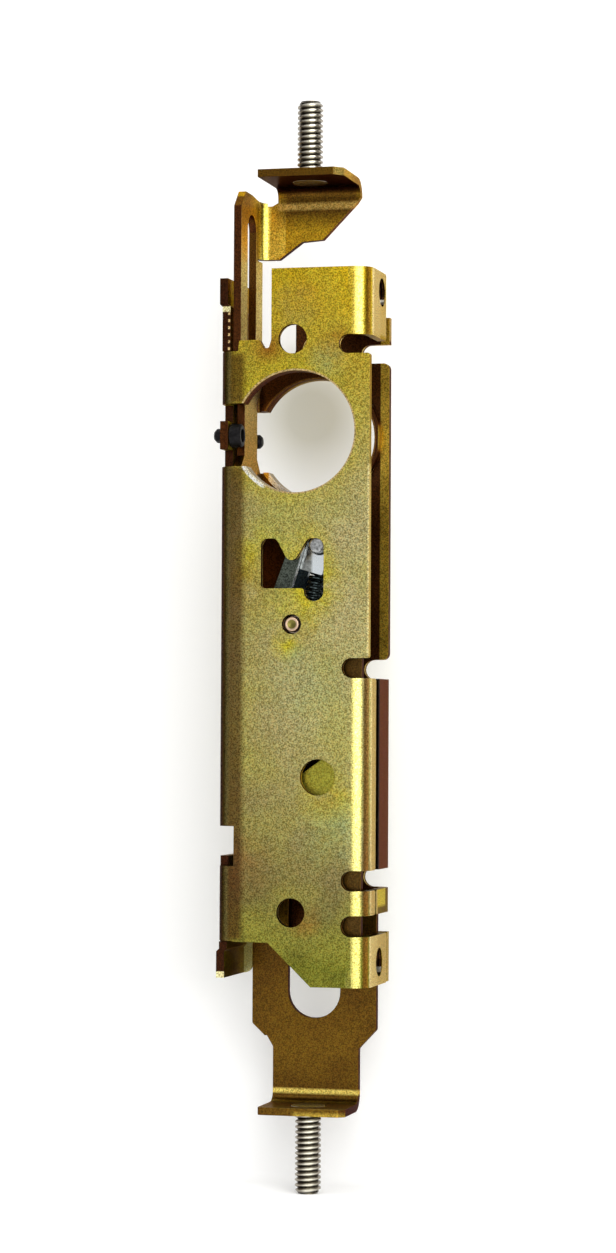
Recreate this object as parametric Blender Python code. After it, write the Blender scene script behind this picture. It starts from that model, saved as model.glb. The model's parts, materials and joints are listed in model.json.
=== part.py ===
"""Two-point deadlock: a folded sheet-metal case for a narrow door stile, with a lever that
draws a top and a bottom link inwards together.

Sizes are in millimetres and become metres where a mesh is made. X points out of the case's
front edge, Y away from the near side plate, Z up. Inside this file the zero point is the
cylinder's axis on the case's middle plane; the empty lock_frame then moves the whole lock so
that the scene's zero lies on the front face of the upper fixing tab.
"""

import math

import bmesh
import bpy
from mathutils import Matrix, Vector
from mathutils.geometry import delaunay_2d_cdt

MM = 0.001
NEAR, FAR = -1, 1
GAP = 0.3  # between pieces that touch
PIN_FIT = 0.2  # all round a pin in its hole

CYLINDER_R = 14.68
COLLAR_WALL = 1.2
COLLAR_DEPTH = 4.6
FRONT_MARGIN = 3.72  # from the cylinder's opening to the case's front edge
REAR_MARGIN = 4.42

CASE_SHEET = 2.0
CASE_WIDTH = 25.4
CASE_BEND = 2.2  # inner radius
FRONT_X = CYLINDER_R + FRONT_MARGIN
REAR_X = -CYLINDER_R - REAR_MARGIN
CASE_HALF = CASE_WIDTH / 2
INNER_HALF = CASE_HALF - CASE_SHEET
OUTER_BEND = CASE_BEND + CASE_SHEET
CASE_ARC = (CASE_BEND + CASE_SHEET / 2) * math.pi / 2
REAR_TANGENT_Y = CASE_HALF - OUTER_BEND
REAR_TANGENT_X = REAR_X + OUTER_BEND
FRONT_TANGENT_X = FRONT_X - OUTER_BEND
CASE_TOP = CYLINDER_R + 24.7
CASE_BOTTOM = -132.9
CUTBACK_Z = CYLINDER_R + 7.5
PLATE_TOP_X = REAR_X + 13.1  # rear edge of the side plates above the cutback
FAR_FRONT_TOP = CYLINDER_R + 15.0
FAR_SETBACK = 0.6  # the far plate's plain front edge stands this much behind the near one
HEEL_Z = -122.5  # bottom of the side plates at the rear
HEEL_SLOPE = (REAR_X + 12.9, REAR_X + 23.6)  # where the bottom edge starts and stops sloping

NOTCH_Z = (-8.2, 7.0)
NOTCH_X = REAR_X + 10.1
EAR_Z = (-3.9, 2.9)
EAR_HALF = CASE_HALF - 1.5
WALL_HALF_AT_NOTCH = CASE_HALF - 6.0
REAR_BEND_TOP = CYLINDER_R + 4.9
REAR_BEND_BOTTOM = HEEL_Z + 0.2
REAR_GAP_Z = (-104.4, -94.8)
REAR_GAP_LIP = 2.4
TONGUE_HALF = INNER_HALF - 1.2
TONGUE_Z = (-131.4, CYLINDER_R + 23.1)
TONGUE_HEAD = 7.0  # height of the stepped end of each tongue
TONGUE_STEP = 0.7
LANCE = 0.4

TOP_TAB_REACH = CASE_HALF + 4.3  # reaches are measured from the outer face of the flange's own plate
BOTTOM_TAB_REACH = CASE_HALF + 7.7
NEAR_FLANGE_REACH = 8.2
FAR_FLANGE_REACH = CASE_WIDTH - NEAR_FLANGE_REACH - 2.6
FAR_STRIP_REACH = CASE_WIDTH - NEAR_FLANGE_REACH - 1.1
SLOT_Z = {
    "top": (CYLINDER_R + 3.8, CYLINDER_R + 8.4),
    "main": (-59.2, -54.4),
    "upper": (-109.9, -105.1),
    "lower": (-120.8, -115.8),
}
SLOT_START_X = {
    "top": FRONT_X - 7.7, "main": FRONT_X - 6.6, "upper": FRONT_X - 6.6, "lower": FRONT_X - 6.6,
}
FAR_SLOPE_X = (FRONT_X - 11.8, FRONT_X - 7.1)  # from the far plate's top down to its front edge
SCREW_HOLE_R = 3.45
SCREW_HOLE_Z = (CASE_BOTTOM + 5.5, CASE_TOP - 4.9)
MOUNT_Z = 27.0

UPPER_HOLE = (-0.7, CYLINDER_R + 7.6, 3.55)
MIDDLE_HOLE = (6.0, -82.9, 4.35)
LOWER_HOLE = (-0.5, -115.3, 3.5)
PIVOT = (-0.6, -46.3)
PIVOT_HOLE_R = 2.4
PIVOT_END_R = 1.85
PIVOT_R = 2.2
BUSH_R = 4.5
DIMPLE = 0.7

# The cut-out round the detent pin, two lobes with a valley between them, from the pivot:
# (x, z, corner radius).
LOBES = (
    (-7.7, 8.6, 0.9),
    (-7.7, 20.6, 1.8),
    (-3.9, 20.6, 1.6),
    (-0.2, 13.7, 1.6),
    (3.9, 20.6, 1.7),
    (7.85, 20.6, 2.0),
    (7.85, 5.5, 2.3),
    (3.0, 5.5, 2.3),
    (3.0, 8.6, 0.7),
)

LINK_SHEET = 1.9
LINK_BEND = 2.5
LINK_ARC = (LINK_BEND + LINK_SHEET / 2) * math.pi / 2
LINK_INNER = INNER_HALF - 3.4  # from the middle plane to a bottom link plate
BAR_BACK_X = REAR_X + CASE_SHEET + 0.8
BAR_HALF = INNER_HALF - 0.9

LEAN = math.radians(16.0)  # of the lever from upright, in the thrown position
LEVER_SHEET = 1.9
LEVER_INNER = LINK_INNER - LEVER_SHEET - 0.5  # from the middle plane to a lever plate
REAR_TIP_R = 2.6
FRONT_TIP_R = 3.2
TIP_X = REAR_X + CASE_SHEET + GAP + REAR_TIP_R  # the rear arm at its farthest back
LEVER_ARM = PIVOT[0] - TIP_X
ARM_ROOT = 3.6
PRONG_TOP = 23.0
PRONG_HALF = 7.0
FORK_HALF = 4.0
FORK_FOOT = 6.6
HUB_R = 4.25
LEVER_RIVET_AT = LEVER_ARM - 5.4
LEVER_RIVET_R = 1.5
LEVER_SHOULDER_R = 2.4
DRIVE_PIN_R = 2.0

DETENT_PIN_AT = 19.8
DETENT_PIN_R = 1.88
DETENT_FOOT = 13.1
DETENT_TOP = 21.9
DETENT_BODY_HALF = 6.2
DETENT_BOSS_HALF = 2.5
DETENT_BORE_R = 2.6
DETENT_BORE_TOP = 17.3
SPRING_R = 1.9
SPRING_WIRE = 0.7
SPRING_TURNS = 6

CLAMP_SCREW_R = 1.75
CLAMP_SCREW_Y = CASE_HALF - 3.75
CLAMP_HEAD_R = 2.87
CLAMP_HEAD = 2.8
CLAMP_NEAR_END = REAR_X - 1.9
CLAMP_FAR_END = REAR_X + 5.2
CLAMP_SOCKET_R = 1.6
CLAMP_SOCKET_DEPTH = 1.8
CLAMP_CHAMFERS = (0.4, 0.7)  # of the head and of the far end

BAR_TOP = 59.4
BAR_BOTTOM = PIVOT[1] - 2.1
BAR_CHAMFER = 4.0
BAR_SLOT_HALF = BAR_HALF - 5.9
BAR_SLOT_Z = (20.0, 54.4)
WAIST_HALF = CLAMP_SCREW_Y - CLAMP_HEAD_R - 0.38
WAIST_Z = (-5.1, 9.0)
PANEL_FOOT = 44.0
TOP_FLANGE_Z = 63.7
TOP_FLANGE_X = (REAR_X + 9.1, FRONT_X - 7.4)
TOP_FLANGE_NEAR_Y = -BAR_HALF - 1.6
PANEL_TANGENT_Y = BAR_HALF - LINK_BEND - LINK_SHEET
TOP_TANGENT_Z = TOP_FLANGE_Z - LINK_BEND - LINK_SHEET
TOP_STUD_X = 0.2
TOP_STUD_END = 81.6

BOTTOM_LINK_X = (REAR_X + 3.8, FRONT_X - 2.4)
BOTTOM_LINK_TOP = -96.0
BOTTOM_LINK_STEP_Z = -112.0
BOTTOM_LINK_STEP_X = FRONT_X - 7.4
BOTTOM_SLOT_X = (-6.2, 6.9)
BOTTOM_SLOT_END = -142.0
BOTTOM_SLOT_TOP = -104.0
SHOULDER_Z = -143.6
NECK_X = (REAR_X + 9.1, FRONT_X - 6.8)
NECK_Z = -149.2
BOTTOM_FLANGE_Z = -164.3
BOTTOM_FLANGE_NEAR_Y = -LINK_INNER
BOTTOM_STUD_X = 0.9
BOTTOM_STUD_END = -183.5
INNER_LINK_FOOT = -121.6
INNER_ARM_X = FRONT_X - 9.9
INNER_SHOULDER_Z = (-92.0, -76.8)
LINK_RIVETS = {"rear": (BOTTOM_LINK_X[0] + 4.5, -101.0), "front": (FRONT_X - 9.5, -100.0)}
LINK_RIVET_R = 1.8
LINK_SPACER_R = 3.0
LINK_HEAD_R = 2.7

STUD_R = 3.175
STUD_HEAD_R = 4.25
STUD_HEAD = 0.9
STUD_CHAMFER = 0.9

BEND_STEPS = 6
CORNER_STEPS = 5
HOLE_STEPS = 24
CYLINDER_STEPS = 72
COLLAR_STEPS = 50

SLOT_PLAIN = (SLOT_Z["main"][1], SLOT_Z["top"][0])  # the front edges between these are plain
ZINC_GOLD = (0.45, 0.36, 0.10)
ZINC_BROWN = (0.33, 0.23, 0.07)
ZINC_SILVER = (0.55, 0.58, 0.60)
STEEL = (0.60, 0.58, 0.55)
BLACK_OXIDE = (0.02, 0.02, 0.022)


def clear_scene():
    for obj in list(bpy.data.objects):
        bpy.data.objects.remove(obj, do_unlink=True)


def metal(name, colour, roughness):
    material = bpy.data.materials.new(name)
    material.use_nodes = True
    shader = material.node_tree.nodes["Principled BSDF"]
    shader.inputs["Base Color"].default_value = (*colour, 1.0)
    shader.inputs["Roughness"].default_value = roughness
    shader.inputs["Metallic"].default_value = 1.0
    return material


def empty(name, parent=None, location=(0, 0, 0), lean=0.0):
    obj = bpy.data.objects.new(name, None)
    bpy.context.scene.collection.objects.link(obj)
    obj.parent = parent
    obj.location = Vector(location) * MM
    obj.rotation_euler = (0, lean, 0)
    return obj


def add_object(name, bm, material, parent, location=(0, 0, 0)):
    """Makes an object of a mesh drawn in millimetres."""
    bmesh.ops.remove_doubles(bm, verts=bm.verts, dist=1e-5)
    bmesh.ops.recalc_face_normals(bm, faces=bm.faces)
    bmesh.ops.scale(bm, vec=(MM, MM, MM), verts=bm.verts)
    mesh = bpy.data.meshes.new(name)
    bm.to_mesh(mesh)
    bm.free()
    mesh.shade_smooth()
    mesh.set_sharp_from_angle(angle=math.radians(30))
    if material:
        mesh.materials.append(material)
    obj = bpy.data.objects.new(name, mesh)
    bpy.context.scene.collection.objects.link(obj)
    obj.parent = parent
    obj.location = Vector(location) * MM
    return obj


def boolean(obj, tool, operation):
    modifier = obj.modifiers.new(tool.name, "BOOLEAN")
    modifier.operation = operation
    modifier.object = tool
    tool.hide_render = True
    tool.display_type = "WIRE"


def box(u_range, v_range):
    (left, right), (low, high) = sorted(u_range), sorted(v_range)
    return [(left, low), (right, low), (right, high), (left, high)]


def disc(u, v, radius, steps=HOLE_STEPS):
    turns = (2 * math.pi * k / steps for k in range(steps))
    return [(u + radius * math.cos(t), v + radius * math.sin(t)) for t in turns]


def rounded(corners, steps=CORNER_STEPS):
    """The outline through corners (u, v, radius), with an arc at each corner that has a radius."""
    outline = []
    for i, (u, v, radius) in enumerate(corners):
        here = Vector((u, v))
        if not radius:
            outline.append(tuple(here))
            continue
        to_last = (Vector(corners[i - 1][:2]) - here).normalized()
        to_next = (Vector(corners[(i + 1) % len(corners)][:2]) - here).normalized()
        half = to_last.angle(to_next) / 2
        centre = here + (to_last + to_next).normalized() * radius / math.sin(half)
        start = here + to_last * radius / math.tan(half) - centre
        end = here + to_next * radius / math.tan(half) - centre
        sweep = math.atan2(start.x * end.y - start.y * end.x, start.dot(end))
        for k in range(steps + 1):
            outline.append(tuple(centre + Matrix.Rotation(sweep * k / steps, 2) @ start))
    return outline


def ccw(outline):
    pairs = zip(outline, outline[1:] + outline[:1])
    area = sum(a[0] * b[1] - b[0] * a[1] for a, b in pairs)
    return outline if area > 0 else outline[::-1]


def stamp(adds, cuts, lines, place, thickness):
    """A flat blank: the outlines in adds less those in cuts, scored along lines.

    place(u, v, w) gives the point of the blank at u, v and at depth w in the sheet.
    """
    points, faces = [], []
    for outline in (*adds, *cuts):
        faces.append(list(range(len(points), len(points) + len(outline))))
        points += [Vector(p) for p in ccw(list(outline))]
    edges = []
    for start, end in lines:
        edges.append((len(points), len(points) + 1))
        points += [Vector(start), Vector(end)]
    found = delaunay_2d_cdt(points, edges, faces, 0, 1e-6)
    sheet = [
        tuple(triangle)
        for triangle, source in zip(found[2], found[5])
        if source and max(source) < len(adds)
    ]
    bm = bmesh.new()
    layers = []
    for depth in (0.0, thickness):
        used = sorted({index for triangle in sheet for index in triangle})
        layers.append({i: bm.verts.new(place(*found[0][i], depth)) for i in used})
    low, high = layers
    sides = {side for a, b, c in sheet for side in ((a, b), (b, c), (c, a))}
    for a, b, c in sheet:
        bm.faces.new((low[c], low[b], low[a]))
        bm.faces.new((high[a], high[b], high[c]))
    for a, b in sides:
        if (b, a) not in sides:
            bm.faces.new((low[a], low[b], high[b], high[a]))
    return bm


def fold(bm, hinge, along, toward, inner_radius, thickness, bends):
    """Folds by a right angle what lies past the hinge line, where bends(point) is true.

    hinge is on the sheet's outer face, along points past it, toward to the inside of the fold.
    """
    hinge, along, toward = Vector(hinge), Vector(along), Vector(toward)
    neutral = inner_radius + thickness / 2
    outer = inner_radius + thickness
    for vert in bm.verts:
        offset = vert.co - hinge
        past = offset.dot(along)
        if past <= 0 or not bends(vert.co):
            continue
        depth = offset.dot(toward)
        across = offset - along * past - toward * depth
        turn = min(past / neutral, math.pi / 2)
        rest = past - neutral * turn
        radius = outer - depth
        ahead = radius * math.sin(turn) + rest * math.cos(turn)
        inward = outer - radius * math.cos(turn) + rest * math.sin(turn)
        vert.co = hinge + across + along * ahead + toward * inward


def score(start, arc, v_range, steps=BEND_STEPS):
    """Lines across a blank where a bend of this arc length gets its facets."""
    low, high = v_range
    places = [start + arc * k / steps for k in range(steps + 1)]
    return [((u, low), (u, high)) for u in places]


def score_across(start, arc, u_range, steps=BEND_STEPS):
    """The same for a bend that runs along the blank's other direction."""
    left, right = u_range
    places = [start + arc * k / steps for k in range(steps + 1)]
    return [((left, v), (right, v)) for v in places]


def turned(profile, axis="Y", steps=HOLE_STEPS):
    """A solid of revolution from (radius, height) pairs along the axis."""
    along = Vector({"X": (1, 0, 0), "Y": (0, 1, 0), "Z": (0, 0, 1)}[axis])
    radial = Vector((0, 0, 1)) if axis != "Z" else Vector((1, 0, 0))
    bm = bmesh.new()
    verts = [bm.verts.new(radial * r + along * h) for r, h in profile]
    edges = [bm.edges.new(pair) for pair in zip(verts, verts[1:])]
    bmesh.ops.spin(
        bm, geom=verts + edges, axis=along, cent=(0, 0, 0),
        angle=2 * math.pi, steps=steps, use_merge=True,
    )
    bmesh.ops.remove_doubles(bm, verts=bm.verts, dist=1e-4)
    return bm


def tube(inner, outer, low, high, axis="Y"):
    profile = [(inner, low), (outer, low), (outer, high), (inner, high), (inner, low)]
    return turned(profile, axis)


def side_u(x):
    """Place on the case's blank, from its middle line, of a point at x on a side plate."""
    return REAR_TANGENT_Y + CASE_ARC + (x - REAR_TANGENT_X)


def flange_u(reach):
    """Place on the blank of a front flange's point that lies reach from its plate's face."""
    return side_u(FRONT_TANGENT_X) + CASE_ARC + (reach - OUTER_BEND)


def on_side(side, outline):
    """An outline in (x, z) on a side plate, laid out on the blank."""
    return [(side * side_u(x), z) for x, z in outline]


def flange_bands(side):
    """(low, high, reach) of each stretch whose front edge is folded."""
    main = (SLOT_Z["upper"][1], SLOT_Z["main"][0])
    strip = (SLOT_Z["lower"][1], SLOT_Z["upper"][0])
    if side == FAR:
        return [(*main, FAR_FLANGE_REACH), (*strip, FAR_STRIP_REACH)]
    return [
        (SLOT_Z["top"][1], CASE_TOP, TOP_TAB_REACH),
        (*main, NEAR_FLANGE_REACH),
        (*strip, NEAR_FLANGE_REACH),
        (CASE_BOTTOM, SLOT_Z["lower"][0], BOTTOM_TAB_REACH),
    ]


def on_tongue(point):
    """True on the parts of the rear wall that stay flat beside its bends."""
    across = abs(point.y)
    if EAR_Z[0] - GAP < point.z < EAR_Z[1] + GAP:
        return across < EAR_HALF + GAP
    past_bends = point.z > REAR_BEND_TOP + LANCE / 2 or point.z < REAR_BEND_BOTTOM - LANCE / 2
    return across < TONGUE_HALF + GAP and past_bends


def side_plate(side):
    """The outlines that one side plate and its flanges add to the blank."""
    front = FRONT_X if side == NEAR else FRONT_X - FAR_SETBACK
    corner = 0.6 if side == NEAR else 1.5
    start = FRONT_TANGENT_X
    inner_edge = REAR_TANGENT_X - CASE_ARC
    low, high = SLOT_PLAIN
    adds = [
        on_side(side, box((inner_edge, start), (CASE_BOTTOM, CASE_TOP))),
        on_side(side, rounded([
            (start, low, 0), (front, low, corner), (front, high, corner), (start, high, 0),
        ])),
    ]
    for low, high, reach in flange_bands(side):
        adds.append([(side * u, v) for u, v in rounded([
            (side_u(start), low, 0), (flange_u(reach), low, 0.8),
            (flange_u(reach), high, 0.8), (side_u(start), high, 0),
        ])])
    if side == FAR:
        for low, high in ((SLOT_Z["top"][1], FAR_FRONT_TOP), (CASE_BOTTOM, SLOT_Z["lower"][0])):
            adds.append(on_side(side, box((start, front), (low, high))))
    return adds


def front_slots():
    """The slots, open to the front and round at the back, that let the flanges fold."""
    beyond = FRONT_X + 2 * CASE_WIDTH
    slots = []
    for name, (low, high) in SLOT_Z.items():
        start = SLOT_START_X[name]
        r = min((high - low) / 2, FRONT_TANGENT_X - start) - 0.01
        slots.append(rounded([
            (start, low, r), (beyond, low, 0), (beyond, high, 0), (start, high, r),
        ]))
    return slots


def top_cutback(tongue_edge, above):
    """What is cleared behind and above the side plate's top, with a small notch in its corner."""
    ledge = CUTBACK_Z - 2.0
    return rounded([
        (tongue_edge, above, 0), (tongue_edge, REAR_BEND_TOP, 0),
        (REAR_TANGENT_X + 0.6, REAR_BEND_TOP, 0), (REAR_TANGENT_X + 0.9, CUTBACK_Z, 0.4),
        (PLATE_TOP_X - 2.9, CUTBACK_Z, 0.4), (PLATE_TOP_X - 1.8, ledge, 0.4),
        (PLATE_TOP_X - 0.6, ledge, 0.4), (PLATE_TOP_X, CUTBACK_Z, 0.3), (PLATE_TOP_X, above, 0),
    ], 3)


def heel_cut(tongue_edge, below):
    slope_start, slope_end = HEEL_SLOPE
    return [
        (tongue_edge, below), (tongue_edge, REAR_BEND_BOTTOM), (REAR_TANGENT_X, REAR_BEND_BOTTOM),
        (REAR_TANGENT_X, HEEL_Z), (slope_start, HEEL_Z), (slope_end, CASE_BOTTOM), (slope_end, below),
    ]


def side_punches(side):
    """What is punched out of one side plate."""
    above, below = CASE_TOP + 1, CASE_BOTTOM - 1
    beyond = FRONT_X + 2 * CASE_WIDTH
    inner_edge = REAR_TANGENT_X - CASE_ARC
    tongue_edge = inner_edge + TONGUE_HALF - REAR_TANGENT_Y
    lobes = [(x + PIVOT[0], z + PIVOT[1], corner) for x, z, corner in LOBES]
    cuts = [
        top_cutback(tongue_edge, above),
        heel_cut(tongue_edge, below),
        rounded(lobes),
        disc(*PIVOT, PIVOT_HOLE_R),
        disc(*UPPER_HOLE),
        disc(*MIDDLE_HOLE),
        box((inner_edge, REAR_TANGENT_X - 0.9), REAR_GAP_Z),
        *front_slots(),
    ]
    if side == NEAR:
        cuts.append(disc(*LOWER_HOLE))
    else:
        top, foot = FAR_SLOPE_X
        cuts.append([
            (top, above), (foot, FAR_FRONT_TOP), (beyond, FAR_FRONT_TOP), (beyond, above),
        ])
    return [on_side(side, cut) for cut in cuts]


def rear_wall():
    """The rear wall with its tongues and screw ears, and what is punched out of it."""
    adds = [box((-TONGUE_HALF, TONGUE_HALF), TONGUE_Z)]
    adds.append(box((-REAR_TANGENT_Y, REAR_TANGENT_Y), (REAR_BEND_BOTTOM, REAR_BEND_TOP)))
    lip = (REAR_GAP_Z[0] + REAR_GAP_LIP, REAR_GAP_Z[1])
    past_tongue = TONGUE_HALF + 1
    cuts = [
        box((-REAR_TANGENT_Y, REAR_TANGENT_Y), lip),
        box((-past_tongue, past_tongue), (TONGUE_Z[1], CASE_TOP + 1)),
        box((-past_tongue, past_tongue), (CASE_BOTTOM - 1, TONGUE_Z[0])),
    ]
    for side in (NEAR, FAR):
        tangent, far_edge = side * REAR_TANGENT_Y, side * side_u(REAR_TANGENT_X + 0.2)
        wall_edge, ear_edge = side * WALL_HALF_AT_NOTCH, side * EAR_HALF
        adds.append(box((wall_edge, ear_edge), EAR_Z))
        cuts += [
            box((tangent, side * past_tongue), (REAR_BEND_TOP, REAR_BEND_TOP + LANCE)),
            box((tangent, side * past_tongue), (REAR_BEND_BOTTOM - LANCE, REAR_BEND_BOTTOM)),
            box((tangent, far_edge), REAR_GAP_Z),
            box((wall_edge, far_edge), (EAR_Z[1], NOTCH_Z[1])),
            box((wall_edge, far_edge), (NOTCH_Z[0], EAR_Z[0])),
            box((ear_edge, far_edge), EAR_Z),
            disc(side * CLAMP_SCREW_Y, sum(EAR_Z) / 2, CLAMP_SCREW_R + PIN_FIT),
        ]
    return adds, cuts


def tongue_steps():
    """(where the step starts, which way the tongue goes on) for the lower and the upper tongue."""
    return (TONGUE_Z[0] + TONGUE_HEAD, -1), (TONGUE_Z[1] - TONGUE_HEAD, 1)


def step_tongues(bm):
    """The end of each tongue stands a little further out than its neck."""
    for start, way in tongue_steps():
        for vert in bm.verts:
            past = (vert.co.z - start) * way
            if past > 0 and abs(vert.co.y) < TONGUE_HALF + GAP:
                vert.co.x -= min(past, TONGUE_STEP)


def case_scores():
    """Score lines of the case's blank: its four bends and the steps in its tongues."""
    z_range = (CASE_BOTTOM - 2, CASE_TOP + 2)
    lines = []
    for side in (NEAR, FAR):
        lines += score(side * REAR_TANGENT_Y, side * CASE_ARC, z_range)
        lines += score(side * side_u(FRONT_TANGENT_X), side * CASE_ARC, z_range)
    for start, way in tongue_steps():
        for level in (start, start + way * TONGUE_STEP):
            lines.append(((-TONGUE_HALF - 1, level), (TONGUE_HALF + 1, level)))
    return lines


def fold_case(bm):
    for side in (NEAR, FAR):
        bands = flange_bands(side)

        def on_flange(point, side=side, bands=bands):
            in_band = any(low - 0.01 < point.z < high + 0.01 for low, high, _ in bands)
            return point.y * side > 0 and in_band

        rear = (REAR_X, side * REAR_TANGENT_Y, 0)
        front = (FRONT_TANGENT_X, side * CASE_HALF, 0)
        fold(
            bm, rear, (0, side, 0), (1, 0, 0), CASE_BEND, CASE_SHEET,
            lambda point: not on_tongue(point),
        )
        fold(bm, front, (1, 0, 0), (0, -side, 0), CASE_BEND, CASE_SHEET, on_flange)


def make_case(parent, material):
    adds, cuts = rear_wall()
    for side in (NEAR, FAR):
        adds += side_plate(side)
        cuts += side_punches(side)
    cuts += [disc(-flange_u(CASE_HALF), z, SCREW_HOLE_R) for z in SCREW_HOLE_Z]
    bm = stamp(adds, cuts, case_scores(), lambda u, v, w: (REAR_X + w, u, v), CASE_SHEET)
    step_tongues(bm)
    fold_case(bm)
    case = add_object("case", bm, material, parent)
    add_collars(case, parent)
    bore_case(case, parent)


def add_collars(case, parent):
    """The rolled-in collars that carry the cylinder's thread."""
    for side, name in ((NEAR, "near"), (FAR, "far")):
        low, high = sorted((side * (CASE_HALF - CASE_SHEET / 2), side * (CASE_HALF - COLLAR_DEPTH)))
        radius = CYLINDER_R + COLLAR_WALL
        boss = turned([(0, low), (radius, low), (radius, high), (0, high)], "Y", COLLAR_STEPS)
        boolean(case, add_object(f"collar_{name}", boss, None, parent), "UNION")


def bore_case(case, parent):
    """Bores the cylinder's opening and notches its collars towards the rear wall."""
    reach = CASE_HALF + 1
    profile = [(0, -reach), (CYLINDER_R, -reach), (CYLINDER_R, reach), (0, reach)]
    bore = turned(profile, "Y", CYLINDER_STEPS)
    boolean(case, add_object("cylinder_bore", bore, None, parent), "DIFFERENCE")
    left = REAR_TANGENT_X - 1.7
    for side, name in ((NEAR, "near"), (FAR, "far")):
        start = side * (CASE_HALF - COLLAR_DEPTH - 0.5)
        notch = stamp(
            [box((left, NOTCH_X), NOTCH_Z)], [], [],
            lambda u, v, w: (u, start + w * side, v), reach - side * start,
        )
        boolean(case, add_object(f"cylinder_notch_{name}", notch, None, parent), "DIFFERENCE")


def bar_outline(low, high):
    """The bar of the top link in (y, z), with its waist beside the cylinder."""
    flare = BAR_HALF - WAIST_HALF
    waist_low, waist_high = WAIST_Z
    return [
        (-BAR_HALF, low), (BAR_HALF, low), (BAR_HALF, waist_low - flare),
        (WAIST_HALF, waist_low), (WAIST_HALF, waist_high), (BAR_HALF, waist_high + flare),
        (BAR_HALF, high - 1.0), (0.0, high), (BAR_CHAMFER - BAR_HALF, high),
        (-BAR_HALF, high - BAR_CHAMFER), (-BAR_HALF, waist_high + flare),
        (-WAIST_HALF, waist_high), (-WAIST_HALF, waist_low), (-BAR_HALF, waist_low - flare),
    ]


def panel_u(x):
    """Place on the top link's blank of a point at x on its panel."""
    return PANEL_TANGENT_Y + LINK_ARC + (x - BAR_BACK_X - LINK_BEND - LINK_SHEET)


def panel_outline():
    """The panel beside the bar and the flange above it, laid out on the blank."""
    left, right = TOP_FLANGE_X
    foot, inside = PANEL_FOOT + LANCE, BAR_BACK_X + LINK_SHEET
    reach = PANEL_TANGENT_Y - TOP_FLANGE_NEAR_Y
    end = TOP_TANGENT_Z + LINK_ARC + reach
    outline = [
        (inside, foot), (left + 0.4, foot), (left + 6.2, foot + 4.2), (right - 9.5, foot + 4.6),
        (right - 1, TOP_TANGENT_Z - 1.5), (right, TOP_TANGENT_Z), (right, end - 2.2),
        (right - 2.2, end), (left, end), (left, TOP_TANGENT_Z - 0.8),
        (left - 1.5, TOP_TANGENT_Z - 1.6), (inside, TOP_TANGENT_Z - 1.6),
    ]
    return [(panel_u(x), z) for x, z in outline]


def bar_openings():
    """The bar's guide slot, the windows for the lever's two rear arms and the panel's lance cut."""
    middle = LEVER_INNER + LEVER_SHEET / 2
    half = LEVER_SHEET / 2 + GAP
    tip_z = PIVOT[1] + LEVER_ARM * math.sin(LEAN)
    window = (tip_z - REAR_TIP_R - GAP, tip_z + REAR_TIP_R + GAP)
    low, high = BAR_SLOT_Z
    openings = [
        rounded([
            (-BAR_SLOT_HALF, low, 1), (BAR_SLOT_HALF, low, 1),
            (BAR_SLOT_HALF, high, BAR_SLOT_HALF - 0.1), (-BAR_SLOT_HALF, high, BAR_SLOT_HALF - 0.1),
        ]),
        box((PANEL_TANGENT_Y, BAR_HALF + 1), (PANEL_FOOT, PANEL_FOOT + LANCE)),
    ]
    return openings + [box((side * middle - half, side * middle + half), window) for side in (NEAR, FAR)]


def make_top_link(parent, material):
    lines = score(PANEL_TANGENT_Y, LINK_ARC, (PANEL_FOOT - 1, BAR_TOP + 2))
    lines += score_across(TOP_TANGENT_Z, LINK_ARC, (PANEL_TANGENT_Y, panel_u(TOP_FLANGE_X[1]) + 1))
    bm = stamp(
        [bar_outline(BAR_BOTTOM, BAR_TOP), panel_outline()], bar_openings(), lines,
        lambda u, v, w: (BAR_BACK_X + w, u, v), LINK_SHEET,
    )
    flange_start = panel_u(TOP_FLANGE_X[0]) - 0.5
    fold(
        bm, (BAR_BACK_X, 0, TOP_TANGENT_Z), (0, 0, 1), (1, 0, 0), LINK_BEND, LINK_SHEET,
        lambda point: point.y > flange_start,
    )
    fold(
        bm, (BAR_BACK_X, PANEL_TANGENT_Y, 0), (0, 1, 0), (1, 0, 0), LINK_BEND, LINK_SHEET,
        lambda point: point.z > PANEL_FOOT + LANCE / 2,
    )
    link = add_object("top_link", bm, material, parent)
    seat = stud_seat(TOP_STUD_X, TOP_FLANGE_Z - LINK_SHEET, 1)
    boolean(link, add_object("top_stud_seat", seat, None, parent), "DIFFERENCE")


def stud_seat(x, face_z, up):
    """The hole for a stud's shank, with a shallow recess for its head; up is the stud's way out."""
    hole, recess = STUD_R + PIN_FIT, STUD_HEAD_R + PIN_FIT
    depth = STUD_HEAD + PIN_FIT
    profile = [
        (0, -up), (recess, -up), (recess, up * depth),
        (hole, up * depth), (hole, up * (LINK_SHEET + 1)), (0, up * (LINK_SHEET + 1)),
    ]
    bm = turned(profile, "Z", 36)
    bmesh.ops.recalc_face_normals(bm, faces=bm.faces)
    bmesh.ops.translate(bm, vec=(x, 0, face_z), verts=bm.verts)
    return bm


def make_stud(name, x, face_z, end_z, parent, material):
    """A flush-head stud: the head sits in the flange's recess and the shank runs out to end_z."""
    up = 1 if end_z > face_z else -1
    length = abs(end_z - face_z)
    profile = [
        (0, 0), (STUD_HEAD_R, 0), (STUD_HEAD_R, up * STUD_HEAD), (STUD_R, up * STUD_HEAD),
        (STUD_R, up * (length - STUD_CHAMFER)), (STUD_R - STUD_CHAMFER, up * length), (0, up * length),
    ]
    return add_object(name, turned(profile, "Z", 36), material, parent, (x, 0, face_z))


def in_side_plane(y):
    """Blank in (x, z) whose sheet starts at this y and thickens away from the viewer."""
    return lambda u, v, w: (u, y + w, v)


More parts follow.
